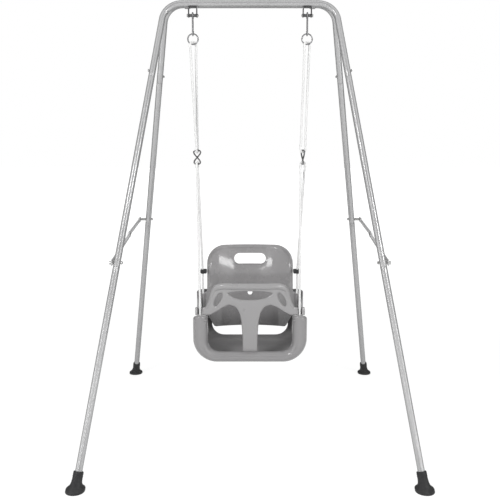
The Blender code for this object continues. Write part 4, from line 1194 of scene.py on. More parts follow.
# Two skins a wall apart from a grid of points, joined round every edge by a half-round rim.
def closedSheet(grid, wall, holes=(), rimSteps=7):
    rows, columns = grid.shape[:2]
    normal = unit(np.cross(np.gradient(grid, axis=0), np.gradient(grid, axis=1))).reshape(-1, 3)
    faces = gridFaces(rows, columns)
    row = faces[:, 0] // columns
    column = faces[:, 0] % columns
    keep = np.ones(len(faces), bool)
    loops = [((0, rows - 1, 0, columns - 1), -1.0)]
    for r1, r2, c1, c2 in holes:
        keep &= ~((row >= r1) & (row < r2) & (column >= c1) & (column < c2))
        loops.append(((r1, r2, c1, c2), 1.0))
    faces = faces[keep]
    flat = grid.reshape(-1, 3)
    parts = [(flat, faces[:, ::-1]), (flat + normal * wall, faces)]
    angle = np.linspace(0, math.pi, rimSteps)[:, None, None]
    for (r1, r2, c1, c2), sign in loops:
        loop = np.concatenate([
            r1 * columns + np.arange(c1, c2), np.arange(r1, r2) * columns + c2,
            r2 * columns + np.arange(c2, c1, -1), np.arange(r2, r1, -1) * columns + c1,
        ])
        p = flat[loop]
        n = normal[loop]
        out = unit(np.cross(tangents(p, True), n)) * sign
        rim = p + n * (wall / 2) * (1 - np.cos(angle)) + out * (wall / 2) * np.sin(angle)
        parts.append((rim.reshape(-1, 3), gridFaces(rimSteps, len(loop), wrapColumns=True)))
    return joined(*parts)


# A circle's points, once round.
def circleOutline(x, y, radius, count=36):
    angle = math.tau * np.arange(count) / count
    return np.stack([x + radius * np.cos(angle), y + radius * np.sin(angle)], -1)


# The corners of a level rectangle, anticlockwise.
def boxCorners(low, high, near, far):
    return [(low, near), (high, near), (high, far), (low, far)]


web = {
    "corner": 0.004,
    "spacing": (0.0015, 0.0022),  # along the outline, and between the points inside
    "holeSlack": 0.0008,
    "edge": 0.0014,
    "sink": 0.0002,
    "eyelet": (0.0021, 0.0022, 0.0015),  # how high, how far from the hole, how wide
    "innerGap": 0.002,
    "outerGap": 0.0065,
    "rearReach": 0.014,
    "earGap": 0.001,
}


# A flat plate round a rope with rounded edges and an eyelet that rises as a bell curve round the hole.
def webPlate(low, high, ropeAt, y, top):
    half = hanging["webThickness"] / 2
    depth = hanging["webDepth"] / 2
    corners = boxCorners(low, high, y - depth, y + depth)
    outline = roundedOutline(corners, [web["corner"]] * 4, web["spacing"][0])
    hole = circleOutline(ropeAt, y, rope["diameter"] / 2 + web["holeSlack"])
    rise, away, width = web["eyelet"]

    def place(u, v, gaps, side):
        raised = rise * np.exp(-(((gaps[1] - away) / width) ** 2)) * (side > 0)
        return np.stack([u, v, top - half + side * (half - web["sink"]) + raised], -1)

    return slab(outline, [hole], web["edge"], web["spacing"][1], place)


# The tub with its slot, and the webs that its ropes go through.
def makeSeat():
    steps = seat["steps"]
    grid = seatGrid()
    middle = grid.shape[1] // 2
    slotRow = steps["roll"] - 2
    hole = (slotRow, slotRow + steps["slotRows"], middle - steps["slot"], middle + steps["slot"])
    parts = [closedSheet(grid, seat["wall"], [hole])]
    frontX, frontY = hanging["frontRope"]
    rearX, rearY = hanging["rearRope"]
    frontEnds = seat["halfWidth"] - seat["rollWidth"] + web["innerGap"], seat["halfWidth"] - web["outerGap"]
    rearEnds = rearX - web["rearReach"], seat["earHalfWidth"] - web["earGap"]
    for side in (-1, 1):
        ends = sorted(side * x for x in frontEnds)
        parts.append(webPlate(*ends, side * frontX, frontY, hanging["frontWebTop"]))
        ends = sorted(side * x for x in rearEnds)
        parts.append(webPlate(*ends, side * rearX, rearY, hanging["rearWebTop"]))
    shape = joined(*parts)
    makePiece("seat_shell", "swing", "seat_plastic", shape, seat["smoothAngle"], finish=tubFinish)


makeSeat()

back = {
    "halfWidth": 0.156,
    "top": 0.617,
    "corner": 0.062,
    "wingHalf": 0.181,
    "wingTop": 0.452,
    "bottom": 0.3225,
    "bottomHalf": 0.129,
    "footInset": 0.017,
    "bends": [0.004, 0.007, 0.005, 0.004, 0.012],  # of the outline's corners below the upper one
    "wall": 0.005,
    "edge": 0.0022,
    "spacing": {"outline": 0.0024, "handle": 0.0022, "inside": 0.0058},
    "y": 0.114,
    "lean": 0.115,
    "sag": 0.050,
    "handle": (0.116, 0.038),
    "handleZ": 0.566,
    "hole": 0.017,
    "holeZ": 0.441,
    "rollReach": 0.015,
    "rollDepth": 0.0075,
    "rollStart": 0.004,
    "rollRise": 0.03,
    "bead": 0.0012,
    "lip": 0.0012,
    "lipReach": 0.005,
    "holeLip": 1.6,  # how many times narrower the round hole's lip is
    "sunk": 0.0048,
    "sunkReach": 0.004,
    "sleeve": 0.0085,
    "sleeveSlack": 0.0008,
    "sleeveBevel": 0.0012,
}


# How far back the panel stands: it leans back as it rises and curves forward with the square of x.
def backDepth(x, z):
    return back["y"] + back["lean"] * (z - back["bottom"]) - back["sag"] * (x / back["wingHalf"]) ** 2


# A bent panel whose upper edge rolls back and whose openings have a raised lip, with its two sleeves.
def makeBackrest():
    low = hanging["rearWebTop"] + gap
    rearX, rearY = hanging["rearRope"]
    right = [
        (back["halfWidth"], back["top"]),
        (back["halfWidth"], back["wingTop"]),
        (back["wingHalf"], back["wingTop"]),
        (back["wingHalf"], low),
        (rearX - back["footInset"], low),
        (back["bottomHalf"], back["bottom"]),
    ]
    radii = [back["corner"], *back["bends"]]
    corners = right + [(-x, z) for x, z in reversed(right)]
    outline = roundedOutline(corners, radii + radii[::-1], back["spacing"]["outline"])
    reach, tall = back["handle"][0] / 2, back["handle"][1] / 2
    corners = boxCorners(-reach, reach, back["handleZ"] - tall, back["handleZ"] + tall)
    handle = roundedOutline(corners, [tall * 0.995] * 4, back["spacing"]["handle"])
    hole = circleOutline(0.0, back["holeZ"], back["hole"] / 2)

    def place(x, z, gaps, side):
        upper = eased(np.clip((z - back["wingTop"] - back["rollStart"]) / back["rollRise"], 0, 1))
        inset = np.clip(1 - gaps[0] / back["rollReach"], 0, 1)
        rolled = back["rollDepth"] * upper * inset**2
        bead = back["bead"] * (1 - upper) * inset**2
        near = np.minimum(gaps[1], gaps[2] * back["holeLip"])
        lip = back["lip"] * np.sin(math.pi * np.clip(near / back["lipReach"], 0, 1)) ** 2
        sunk = back["sunk"] * np.clip(1 - near / back["sunkReach"], 0, 1) ** 2
        y = backDepth(x, z) + rolled - bead - lip + sunk
        return np.stack([x, y - side * back["wall"] / 2, z], -1)

    parts = [slab(outline, [handle, hole], back["edge"], back["spacing"]["inside"], place)]
    bore = rope["diameter"] / 2 + back["sleeveSlack"]
    profile = ringProfile(0, hanging["sleeveTop"] - low, bore, back["sleeve"], back["sleeveBevel"])
    for side in (-1, 1):
        parts.append(lathed((side * rearX, rearY, low), upward, profile, 40, closedProfile=True))
    shape = joined(*parts)
    angle = seat["smoothAngle"]
    # The panel's finish has painted light in its colour and a painted shadow at its foot.
    makePiece("backrest", "swing", "seat_plastic", shape, angle, backLightAndShadeFinish, name="backrestPanel")


clip = {
    "front": 0.009,
    "outer": 0.009,
    "overlap": 0.003,
    "half": 0.0074,
    "corner": 0.003,
    "edge": 0.0016,
    "spacing": (0.001, 0.0016),
    "holeSlack": 0.0005,
    "crease": (0.0006, 0.0035, 0.0008),  # how deep, how far from the edge, how wide
}


# A rounded block that grips the rope beside the backrest, with a crease round its upper and lower face.
def makeClip(sideName):
    side = bothSides[sideName]
    y, z = hanging["clipY"], hanging["clipZ"]
    rear = backDepth(back["halfWidth"], z) + clip["overlap"]
    ends = sorted((side * (back["halfWidth"] + gap), side * (hanging["rearRope"][0] + clip["outer"])))
    corners = boxCorners(*ends, y - clip["front"], rear)
    outline = roundedOutline(corners, [clip["corner"]] * 4, clip["spacing"][0])
    hole = circleOutline(side * hanging["clipX"], y, rope["diameter"] / 2 + clip["holeSlack"])
    depth, away, width = clip["crease"]

    def place(u, v, gaps, face):
        crease = depth * np.exp(-(((gaps[0] - away) / width) ** 2))
        return np.stack([u, v, z + face * (clip["half"] - crease)], -1)

    shape = slab(outline, [hole], clip["edge"], clip["spacing"][1], place)
    makePiece("rope_clip_" + sideName, "swing", "black_plastic", shape, seat["smoothAngle"])


makeBackrest()
for sideLabel in bothSides:
    makeClip(sideLabel)
print("seat made")

guard = {
    "half": 0.006,
    "bar": 0.0105,
    "rim": 0.0066,
    "barZ": 0.5165,
    "rootY": -0.117,
    "lean": 0.18,
    "endBack": 0.019,
    "endX": 0.183,
    "postHalf": 0.0255,
    "postBottom": 0.272,
    "endRise": 0.0005,
    "travel": 0.120,
    "slotWidth": 0.017,
    "slotEnds": ((0.530, 0.882), (0.615, 0.760)),
    "slotBow": (1.12, 0.86, 0.7),  # outer width, inner width, power of the inner side's bow
    "edge": 0.0048,
    "crown": (0.0007, 0.012),  # how much thinner it is at an edge, and how far in this ends
    "barEnd": 0.70,
    "barSwell": 0.10,
    "eyelet": 0.0095,
    "bore": 0.0052,
    "armX": 0.158,
    "armTop": 0.696,
    "spacing": {"outline": 0.0024, "lens": 0.0018, "slot": 0.0016, "inside": 0.0052, "bar": 0.0018},
}
# Shares of the guard's half width and of its height: the right half of the outline and of the opening
# under the bar, each corner with its bend as a share of the half width, and the left half of the bar's
# line. A word stands for a place that makeGuard works out.
guardOutline = [
    (0.000, 1.000, 0.0), (0.557, 1.000, 0.068), (0.649, 0.950, 0.057), (0.703, 0.830, 0.113),
    (0.757, 0.721, 0.068), ("arm", 0.702, 0.017), ("arm", "low", 0.017), (0.730, "low", 0.034),
    (0.613, 0.648, 0.17), (0.503, 0.706, 0.17), (0.372, 0.750, 0.068), (0.257, 0.719, 0.085),
    (0.195, 0.637, 0.17), (0.158, 0.516, 0.283), ("post", 0.306, 0.283), ("post", 0.0, 0.023),
]
guardLens = [
    (0.000, 0.945, 0.567), (0.250, 0.937, 0.283), (0.413, 0.913, 0.011), (0.300, 0.853, 0.170),
    (0.165, 0.826, 0.283), (0.000, 0.819, 0.340),
]
guardBar = [
    (-0.800, 0.672), (-0.752, 0.732), (-0.712, 0.803), (-0.684, 0.875), (-0.655, 0.940), (-0.603, 0.983),
    (-0.540, 1.0), (-0.270, 1.008), (0.0, 1.01),
]


# How far forward the guard stands: it leans out as it rises, less towards its ends, which lie back.
def guardDepth(x, z):
    q = (x / hanging["frontRope"][0]) ** 2
    leaning = guard["lean"] * (z - seat["floor"]) * np.maximum(0.0, 1 - q)
    return guard["rootY"] - leaning - guard["endBack"] * q


# A place on the guard from its shares of the half width and of the height.
def guardSpot(across, up):
    return across * guard["endX"], guard["postBottom"] + up * (guard["barZ"] - guard["postBottom"])


# A leaf-shaped slot between two ends: two half-circle bows, the inner one flatter.
def guardSlot(side):
    start, end = (np.array(guardSpot(side * x, z)) for x, z in guard["slotEnds"])
    along = unit(end - start)
    across = np.array([-along[1], along[0]])
    half = guard["slotWidth"] / 2
    t = np.linspace(-1, 1, 25)
    bow = np.sqrt(np.clip(1 - t * t, 0, 1))
    spine = (start + end) / 2 + t[:, None] * along * (np.linalg.norm(end - start) / 2 + half)
    outward = across * (1 if across[0] * side > 0 else -1)
    outer, inner, power = guard["slotBow"]
    far = spine + outward * (bow * half * outer)[:, None]
    near = spine - outward * (bow**power * half * inner)[:, None]
    leaf = np.concatenate([far, near[-2:0:-1]])
    return anticlockwise(resampled(leaf, guard["spacing"]["slot"], closed=True))


# Post, arms and top bar in one: a slab bent over the lap, a bar swept along its top and an eyelet at
# each end.
def makeGuard():
    endLow = seat["rollTop"] + gap
    width, spacing = guard["endX"], guard["spacing"]
    xs = {"arm": guard["armX"], "post": guard["postHalf"]}
    zs = {"low": endLow + guard["endRise"]}
    half = [(xs.get(x) or x * width, zs.get(z) or guardSpot(0, z)[1]) for x, z, _ in guardOutline]
    bends = [bend * width for _, _, bend in guardOutline]
    corners = half + [(-x, z) for x, z in reversed(half[1:])]
    outline = roundedOutline(corners, bends + bends[:0:-1], spacing["outline"])
    rows = guardLens + [(-x, z, bend) for x, z, bend in reversed(guardLens[1:-1])]
    bends = [bend * width for _, _, bend in rows]
    lens = roundedOutline([guardSpot(x, z) for x, z, _ in rows], bends, spacing["lens"])
    thinning, reach = guard["crown"]

    def place(x, z, gaps, side):
        crown = thinning * np.clip(1 - gaps.min(0) / reach, 0, 1) ** 2
        return np.stack([x, guardDepth(x, z) - side * (guard["half"] - crown), z], -1)

    holes = [lens, guardSlot(-1), guardSlot(1)]
    parts = [slab(outline, holes, guard["edge"], spacing["inside"], place, 13)]
    line = [(x, guardDepth(x, z), z) for x, z in (guardSpot(*shares) for shares in guardBar)]
    line += [(-x, y, z) for x, y, z in reversed(line[:-1])]
    route = smoothRoute(np.array(line), spacing["bar"])
    fromEnd = guard["barEnd"] * width - np.abs(route[:, 0])
    full = eased(np.clip(fromEnd / (guard["barSwell"] * width), 0, 1))
    thick = guard["rim"] + (guard["bar"] - guard["rim"]) * full
    section = roundEnds(route, guard["bar"], 40) * (thick / guard["bar"])[:, None, None]
    parts.append(swept(route, (0, 1, 0), section))
    eye = hanging["connectorZ"] - 2 * hanging["connectorRadius"]
    slide = unit([0.0, hanging["y"] - hanging["frontRope"][1], eye - hanging["frontWebTop"]])
    for sideName, side in bothSides.items():
        route = lowerRopeRoute(sideName)
        along = unit(route[2] - route[1])
        drift = (along / along[2] - slide / slide[2]) * guard["travel"] * slide[2]
        parts.append(armBlock(side, route[1], along, drift, endLow, guardSpot(0, guard["armTop"])[1]))
    makePiece("guard", "guard", "guard_plastic", joined(*parts), seat["smoothAngle"], name="guardBody")


armEnd = {
    "root": 0.006,  # how far the block reaches into the arm
    "lip": 0.0026,
    "outerShift": (0.001, 0.004),  # how much farther forward the outer corners lie, front and rear
    "bends": {"root": 0.002, "lip": 0.003, "mouth": 0.0008, "notch": 0.005, "rear": 0.006},
    "stepDrop": 0.0045,
    "stepWidth": 0.002,
    "edge": 0.0016,
    "spacing": (0.0012, 0.0018),  # along the outline, and between the points inside
}


# An arm's end: a block that leans with the rope, open to the front, its notch as much wider outwards as
# the rope drifts while the guard slides. Its top is a step lower from the notch inwards.
def armBlock(side, start, along, drift, low, high):
    lean = along / along[2]
    x0, y0 = np.abs(start[0] + lean[0] * (low - start[2])), start[1] + lean[1] * (low - start[2])
    bore, half, arm, lip = guard["bore"], guard["eyelet"], guard["half"], armEnd["lip"]
    near, far = x0 - bore, x0 + bore + abs(drift[0])
    inner, outer = guard["armX"] - armEnd["root"], guard["endX"] - abs(lean[0]) * (high - low)
    frontShift, rearShift = armEnd["outerShift"]
    plan = [
        (inner, y0 - arm, "root"), (near - lip, y0 - half, "lip"), (near, y0 - half, "mouth"),
        (near, y0 + bore, "notch"), (far, y0 + bore, "notch"), (far, y0 - half, "mouth"),
        (far + lip, y0 - half, "root"), (outer, y0 - arm - frontShift, "root"),
        (outer, y0 + arm - rearShift, "lip"), (far, y0 + half, "rear"), (near, y0 + half, "rear"),
        (inner, y0 + arm, "root"),
    ]
    bends = [armEnd["bends"][kind] for _, _, kind in plan]
    outline = roundedOutline([(side * x, y) for x, y, _ in plan], bends, armEnd["spacing"][0])
    middle, tall = (low + high) / 2, (high - low) / 2

    def place(u, v, gaps, face):
        step = eased(np.clip((far - np.abs(u)) / armEnd["stepWidth"], 0, 1))
        z = middle + face * tall - armEnd["stepDrop"] * step * (face > 0) * face
        return np.stack([u + lean[0] * (z - low), v + lean[1] * (z - low), z], -1)

    return slab(outline, [], armEnd["edge"], armEnd["spacing"][1], place)


makeGuard()
print("guard made")

fasteners = {
    "jointAbove": 0.022,
    "jointShank": 0.0025,
    "jointHead": (0.00475, 0.004),
    "jointSides": 28,
    "pin": 0.003,
    "pinHead": (0.0055, 0.004),
    "pinNut": (0.0055, 0.003),
    "hexSides": 36,
    "hexChamfer": 0.87,
    "hexAngle": 25.0,
}


# How far from a leg's axis, along X, a flat face of this radius rests on the sloping tube.
def flatSeat(radius):
    return stand["tube"] / 2 * math.hypot(1.0, legSlope) + radius * legSlope + gap


# A bolt or nut turned along X, outwards from a place.
def boltPiece(node, body, start, outward, stations, sides, hexes=(), smoothAngle=38.0):
    shape = lathed(start, (outward, 0, 0), stations, sides, hexes)
    makePiece(node, body, "bolts", shape, smoothAngle)


# A round-headed bolt through the upper tube joint, with a small recess in its domed head.
def jointBolt(label, sideName):
    side = bothSides[sideName]
    outward = side * (1 if label == "front" else -1)
    middle = onLeg(label, side, stand["upperJoint"] + fasteners["jointAbove"])
    head, tall = fasteners["jointHead"]
    under = flatSeat(head)
    shank = fasteners["jointShank"]
    tail = stand["tube"] / 2
    rim, recess = 0.001, 0.0012
    dome = np.linspace(0, math.pi / 2, 7)[1:]
    stations = [
        (-tail, 0.0), (-tail, shank - 0.0005), (-tail + 0.0005, shank), (under, shank),
        (under, head - 0.0003), (under + 0.0003, head), (under + rim, head),
        *[(under + rim + (tall - rim) * math.sin(a), head * (0.32 + 0.68 * math.cos(a))) for a in dome],
        (under + tall - recess, head * 0.26), (under + tall - recess, 0.0),
    ]
    node = f"{label}_joint_bolt_{sideName}"
    boltPiece(node, label + "_frame", middle, outward, stations, fasteners["jointSides"])


band = {
    "clearance": 0.0006,
    "wall": 0.002,
    "width": 0.018,
    "inset": 0.006,
    "bevel": 0.0006,
    "bead": 0.0019,
    "beadInset": 0.0008,
    "beadPlace": (-0.00145, 0.0058),  # y, and how far above and below the bar's middle
}


# A steel band round the rear bar, welded to the front bar by two beads.
def hingeBand(sideName):
    inner = stand["tube"] / 2 + band["clearance"]
    outer = inner + band["wall"]
    bendReach = stand["bend"] * math.tan((math.pi / 2 - math.atan(legSlope)) / 2)
    half = band["width"] / 2
    x = bothSides[sideName] * (stand["cornerSpacing"] / 2 - bendReach - band["inset"] - half)
    profile = ringProfile(-half, half, inner, outer, band["bevel"])
    parts = [lathed((x, stand["halfBarSpacing"], barZ), (1, 0, 0), profile, 56, closedProfile=True)]
    y, rise = band["beadPlace"]
    for up in (-1, 1):
        parts.append(weldBead(x, y, barZ + up * rise, half - band["beadInset"], band["bead"], 40, 1900.0))
    makePiece("hinge_band_" + sideName, "front_frame", "grey_steel", joined(*parts))


stirrup = {
    "width": 0.030,
    "height": 0.036,
    "thickness": 0.003,
    "depth": 0.020,
    "overlap": 0.002,
    "bend": 0.0048,
    "spacing": (0.0008, 0.004),  # in the bends, along the sides
    "edge": 0.0007,
    "weld": 0.0017,
    "weldHalf": 0.011,
    "weldPlace": (0.0047, 0.0006),  # how far to the front and rear, how far above the strap
}


# A closed rectangle section of (sideways, normal) points with rounded corners.
def roundedRect(halfSide, halfNormal, radius, steps=4):
    angle = np.linspace(0, math.pi / 2, steps + 1)
    inner = np.array([halfSide - radius, halfNormal - radius])
    quarter = inner + radius * np.stack([np.cos(angle), np.sin(angle)], -1)
    flip = np.array([(1, 1), (-1, 1), (-1, -1), (1, -1)])
    order = [quarter, quarter[::-1], quarter, quarter[::-1]]
    return np.concatenate([q * f for q, f in zip(order, flip)])


# A bent steel strap under the bar, domed at its ends, and the two weld beads that hold it.
def makeStirrup(sideName):
    x, y, under = hangerSpot(sideName, stand["height"] - stand["tube"])
    thick = stirrup["thickness"]
    half = stirrup["width"] / 2 - thick / 2
    top = under - gap - thick / 2
    low = under + stirrup["overlap"] - stirrup["height"]
    corners = [(x - half, y, low), (x - half, y, top), (x + half, y, top), (x + half, y, low)]
    route = bentRoute(corners, stirrup["bend"], stirrup["spacing"][0])
    ends = upward * thick / 2 * domeSteps(6)[:, None]
    legs = [resampled(leg, stirrup["spacing"][1]) for leg in (route[:2], route[-2:])]
    route = np.concatenate([route[0] + ends, legs[0][1:], route[2:-2], legs[1][:-1], route[-1] + ends[::-1]])
    flat = roundedRect(thick / 2, stirrup["depth"] / 2, stirrup["edge"])
    fromEnd = np.clip((route[:, 2] - low) / (thick / 2), 0, 1)
    taper = np.sqrt(np.clip(1 - (1 - fromEnd) ** 2, 0, 1))
    section = np.stack([flat[None, :, 0] * taper[:, None], flat[None, :, 1] + 0 * taper[:, None]], -1)
    parts = [swept(route, (0, 1, 0), section)]
    away, rise = stirrup["weldPlace"]
    for rearSide in (-1, 1):
        place = (x, y + rearSide * away, top + thick / 2 + rise)
        parts.append(weldBead(*place, stirrup["weldHalf"], stirrup["weld"], 50, 1700.0))
    node = "hanger_stirrup_" + sideName
    # The stirrup takes the darker copy of the plating: painted shade.
    makePiece(node, "front_frame", "grey_steel", joined(*parts), finish=shadedPlateFinish)


# A hexagon bolt across the stirrup with a nut on its inner end.
def hangerPin(sideName):
    reach = stirrup["width"] / 2 + gap
    head, headTall = fasteners["pinHead"]
    nut, nutTall = fasteners["pinNut"]
    chamfer = fasteners["hexChamfer"]
    pin = fasteners["pin"]
    nutEnd, headEnd = -reach - nutTall, reach + headTall
    stations = [
        (nutEnd - 0.001, 0.0), (nutEnd - 0.001, pin - 0.0006), (nutEnd - 0.0004, pin), (nutEnd, pin),
        (nutEnd, nut * chamfer), (nutEnd + 0.0006, nut), (-reach - 0.0006, nut), (-reach, nut * chamfer),
        (-reach, pin), (reach, pin), (reach, head * chamfer), (reach + 0.0003, head),
        (headEnd - 0.0007, head), (headEnd, head * chamfer * 0.94), (headEnd, 0.0),
    ]
    middle = hangerSpot(sideName, hanging["pinZ"])
    outward, sides = bothSides[sideName], fasteners["hexSides"]
    hexes = [(5, 7), (11, 13)]  # the stations between the chamfers
    node = "hanger_pin_" + sideName
    boltPiece(node, "front_frame", middle, outward, stations, sides, hexes, fasteners["hexAngle"])


hook = {
    "bushing": 0.0055,
    "bushingHalf": 0.0114,
    "wire": 0.0025,
    "turn": 0.0083,
    "height": 0.0637,
    "spacing": 0.0011,
    "gateDrop": 0.0115,
    "gateLength": 0.036,
    "gate": 0.002,
    "rivetDrop": 0.0022,
}


# A plastic sleeve on the pin with a raised flange at each end.
def makeBushing(sideName):
    inner, outer, half = fasteners["pin"] + gap, hook["bushing"], hook["bushingHalf"]
    bevel, flange = 0.0004, 0.0024
    waist = outer - 0.0005
    right = [
        (half - flange, waist), (half - 0.0018, outer), (half - bevel, outer), (half, outer - bevel),
        (half, inner),
    ]
    profile = [(-x, r) for x, r in reversed(right)] + right
    shape = lathed(hangerSpot(sideName, hanging["pinZ"]), (1, 0, 0), profile, 40, closedProfile=True)
    makePiece("pin_bushing_" + sideName, "swing", "black_plastic", shape, finish=sleeveFinish)


# A snap hook: wire bent over the pin and round the ring, domed at its tips, with a rivet for its gate,
# which is made next.
def makeHook(sideName):
    x, y, top = hangerSpot(sideName, hanging["pinZ"])
    turn, wire = hook["turn"], hook["wire"]
    low = top - hook["height"] + turn
    gateTop = top - hook["gateDrop"]
    gateLow = gateTop - hook["gateLength"]
    angle = np.linspace(0, math.pi, 40)
    x0 = np.full(40, x)
    over = np.stack([x0, y + turn * np.cos(angle), top + turn * np.sin(angle)], -1)
    under = np.stack([x0, y - turn * np.cos(angle), low - turn * np.sin(angle)], -1)
    tipTop = np.array([[x, y + turn, gateTop + gap]])
    tipLow = np.array([[x, y + turn, gateLow - gap]])
    route = resampled(np.concatenate([tipTop, over, under, tipLow]), hook["spacing"])
    ends = upward * wire * domeSteps(7)[:, None]
    keep = (np.abs(route - tipTop).max(1) > wire) & (np.abs(route - tipLow).max(1) > wire)
    route = np.concatenate([tipTop + ends, route[keep], tipLow - ends[::-1]])
    parts = [swept(route, (1, 0, 0), roundEnds(route, wire, 28))]
    rivet = [(0.0027, 0.0012), (0.0031, 0.0007), (0.0031, 0.0)]
    rivet = [(-x, r) for x, r in reversed(rivet)] + rivet
    parts.append(lathed((x, y + turn, gateLow - hook["rivetDrop"]), (1, 0, 0), rivet, 16))
    makePiece("snap_hook_" + sideName, "swing", "bright_hardware", joined(*parts))
    makeGate(sideName, (x, y + turn, gateLow))


# A round gate from its lower tip up, with a groove near each end.
def makeGate(sideName, low):
    gate, length = hook["gate"], hook["gateLength"]
    stations = [
        (0.0, 0.0), (0.0001, gate * 0.4), (0.0006, gate * 0.8), (0.0013, gate), (0.006, gate),
        (0.0064, gate * 0.86), (0.0072, gate * 0.86), (0.0076, gate), (length - 0.0052, gate),
        (length - 0.0048, gate * 0.84), (length - 0.0036, gate * 0.84), (length - 0.0032, gate),
        (length - 0.0004, gate), (length, gate * 0.8), (length, 0.0),
    ]
    shape = lathed(low, upward, stations, 24)
    makePiece("hook_gate_" + sideName, "gate_" + sideName, "bright_hardware", shape)


# A round ring of wire that is slightly thicker where it is welded: a bell curve round one angle.
def makeRing(sideName):
    angle = math.tau * np.arange(120) / 120
    circle = np.stack([np.cos(angle), 0 * angle, np.sin(angle)], -1) * hanging["ringRadius"]
    weld = 1 + 0.07 * np.exp(-(((angle - 2.6) / 0.06) ** 2))
    section = roundSection(hanging["ringWire"] / 2)[None] * weld[:, None, None]
    shape = swept(hangerSpot(sideName, hanging["ringZ"]) + circle, (0, 1, 0), section, True)
    makePiece("ring_" + sideName, "swing", "bright_hardware", shape)


# A wire link bent to an eight: up = cos t, across = half of sin 2t, and out of its plane by a little
# sin t.
def makeConnector(sideName):
    normal, across = connectorAxes(sideName)
    radius = hanging["connectorRadius"]
    t = (math.tau * np.arange(180) / 180)[:, None]
    out = radius * np.sin(2 * t) * (1 - 0.06 * np.sin(t) ** 2)
    lift = 0.0027 * np.sin(t)
    route = connectorSpot(sideName) + out * across + lift * normal + 2 * radius * np.cos(t) * upward
    shape = swept(route, normal, roundSection(hanging["connectorWire"] / 2), True)
    node = "rope_connector_" + sideName
    # The connector takes the darker copy of the plating: painted shade.
    makePiece(node, "swing", "bright_hardware", shape, rope["smoothAngle"], shadedPlateFinish)


for sideLabel in bothSides:
    hingeBand(sideLabel)
    makeStirrup(sideLabel)
    hangerPin(sideLabel)
    makeBushing(sideLabel)
    makeHook(sideLabel)
    makeRing(sideLabel)
    makeConnector(sideLabel)
    for frameLabel in frames:
        jointBolt(frameLabel, sideLabel)
print("hangers made")

brace = {
    "above": 0.013,
    "bolt": 0.003,
    "head": (0.00625, 0.0045),
    "nut": (0.00525, 0.0042),
    "washer": 0.005,
    "washerEdge": 0.0003,
    "width": 0.0165,
    "endWidth": 0.0205,
    "neck": 0.013,
    "thickness": 0.003,
    "boltSlack": 0.0004,
    "edge": 0.0007,
    "spacing": 0.0016,
    "washerGap": 0.0035,
    "layerGap": 0.0004,
    "rise": 0.005,
    "frontShare": 0.568,
    "rib": 0.0029,
    "ribHalf": 0.0070,
    "ribSlope": 0.0032,
    "ribInset": 0.006,
    "ribEnd": 0.01,
    "rivetHeads": (0.0024, 0.0006),  # how far the outer dome rises, and its rim
}


# The front bolt, the knuckle and the rear bolt; the knuckle as seen from the side.
def bracePoints():
    front = onLeg("front", 1, stand["lowerJoint"]["front"] + brace["above"])
    rear = onLeg("rear", 1, stand["lowerJoint"]["rear"] + brace["above"])
    span = (rear - front)[1:]
    up = unit([-span[1], span[0]])
    knuckle = front[1:] + span * brace["frontShare"] + up * brace["rise"]
    return front, knuckle, rear


# A flat bar with round, wider ends and a shallow pressed rib that fades out before them.
def makeArm(node, body, start, end, inner, side, ribSide):
    along = end - start
    length = float(np.linalg.norm(along))
    forward = unit(along)
    up = np.array([-forward[1], forward[0]])
    reach, half, neck = brace["endWidth"] / 2, brace["width"] / 2, brace["neck"]
    thick = brace["thickness"] / 2
    angle = np.linspace(0, math.pi, 24)
    startEnd = np.stack([-reach * np.sin(angle), reach * np.cos(angle)], -1)
    farEnd = np.stack([length + reach * np.sin(angle), -reach * np.cos(angle)], -1)
    low = np.array([(neck, -half), (length - neck, -half)])
    high = np.array([(length - neck, half), (neck, half)])
    outline = resampled(np.concatenate([startEnd, low, farEnd, high]), brace["spacing"], closed=True)
    holes = [circleOutline(x, 0.0, brace["bolt"] + brace["boltSlack"], 28) for x in (0.0, length)]
    ribStart = neck + brace["ribInset"]

    def place(u, v, gaps, face):
        lengthwise = eased(np.clip(np.minimum(u - ribStart, length - ribStart - u) / brace["ribEnd"], 0, 1))
        across = eased(np.clip((brace["ribHalf"] - np.abs(v)) / brace["ribSlope"], 0, 1))
        ridge = brace["rib"] * across * lengthwise
        x = side * (inner + thick + face * (thick - 0.0001) + ribSide * ridge)
        yz = start[None] + u[:, None] * forward + v[:, None] * up
        return np.concatenate([x[:, None], yz], -1)

    shape = slab(outline, holes, brace["edge"], brace["spacing"], place, 7)
    # The arm's finish is the grey steel made lighter as painted light.
    makePiece(node, body, "grey_steel", shape, finish=armPaintedLightFinish)


# Stations of a hexagonal head or nut from low on: its chamfered edges lie inside its height.
def hexStations(low, tall, radius):
    chamfer = radius * fasteners["hexChamfer"]
    return [(low, chamfer), (low + 0.0005, radius), (low + tall - 0.0006, radius), (low + tall, chamfer)]


# The rivet through both arms, with a dished inner head and a domed outer one.
def makeRivet(node, body, low, high, origin, outward):
    bolt, head = brace["bolt"], brace["head"][0]
    dome = np.linspace(0, math.pi / 2, 6)[:-1]
    rise, rim = brace["rivetHeads"]
    stations = [
        (low - 0.002, 0.0), (low - 0.002, head * 0.45), (low - 0.0016, head * 0.8), (low - 0.001, head),
        (low, head), (low, bolt), (high, bolt), (high, head - 0.0002), (high + 0.0004, head),
        *[(high + rim + rise * math.sin(a), head * math.cos(a)) for a in dome], (high + rim + rise, 0.0),
    ]
    boltPiece(node, body, origin, outward, stations, 32)


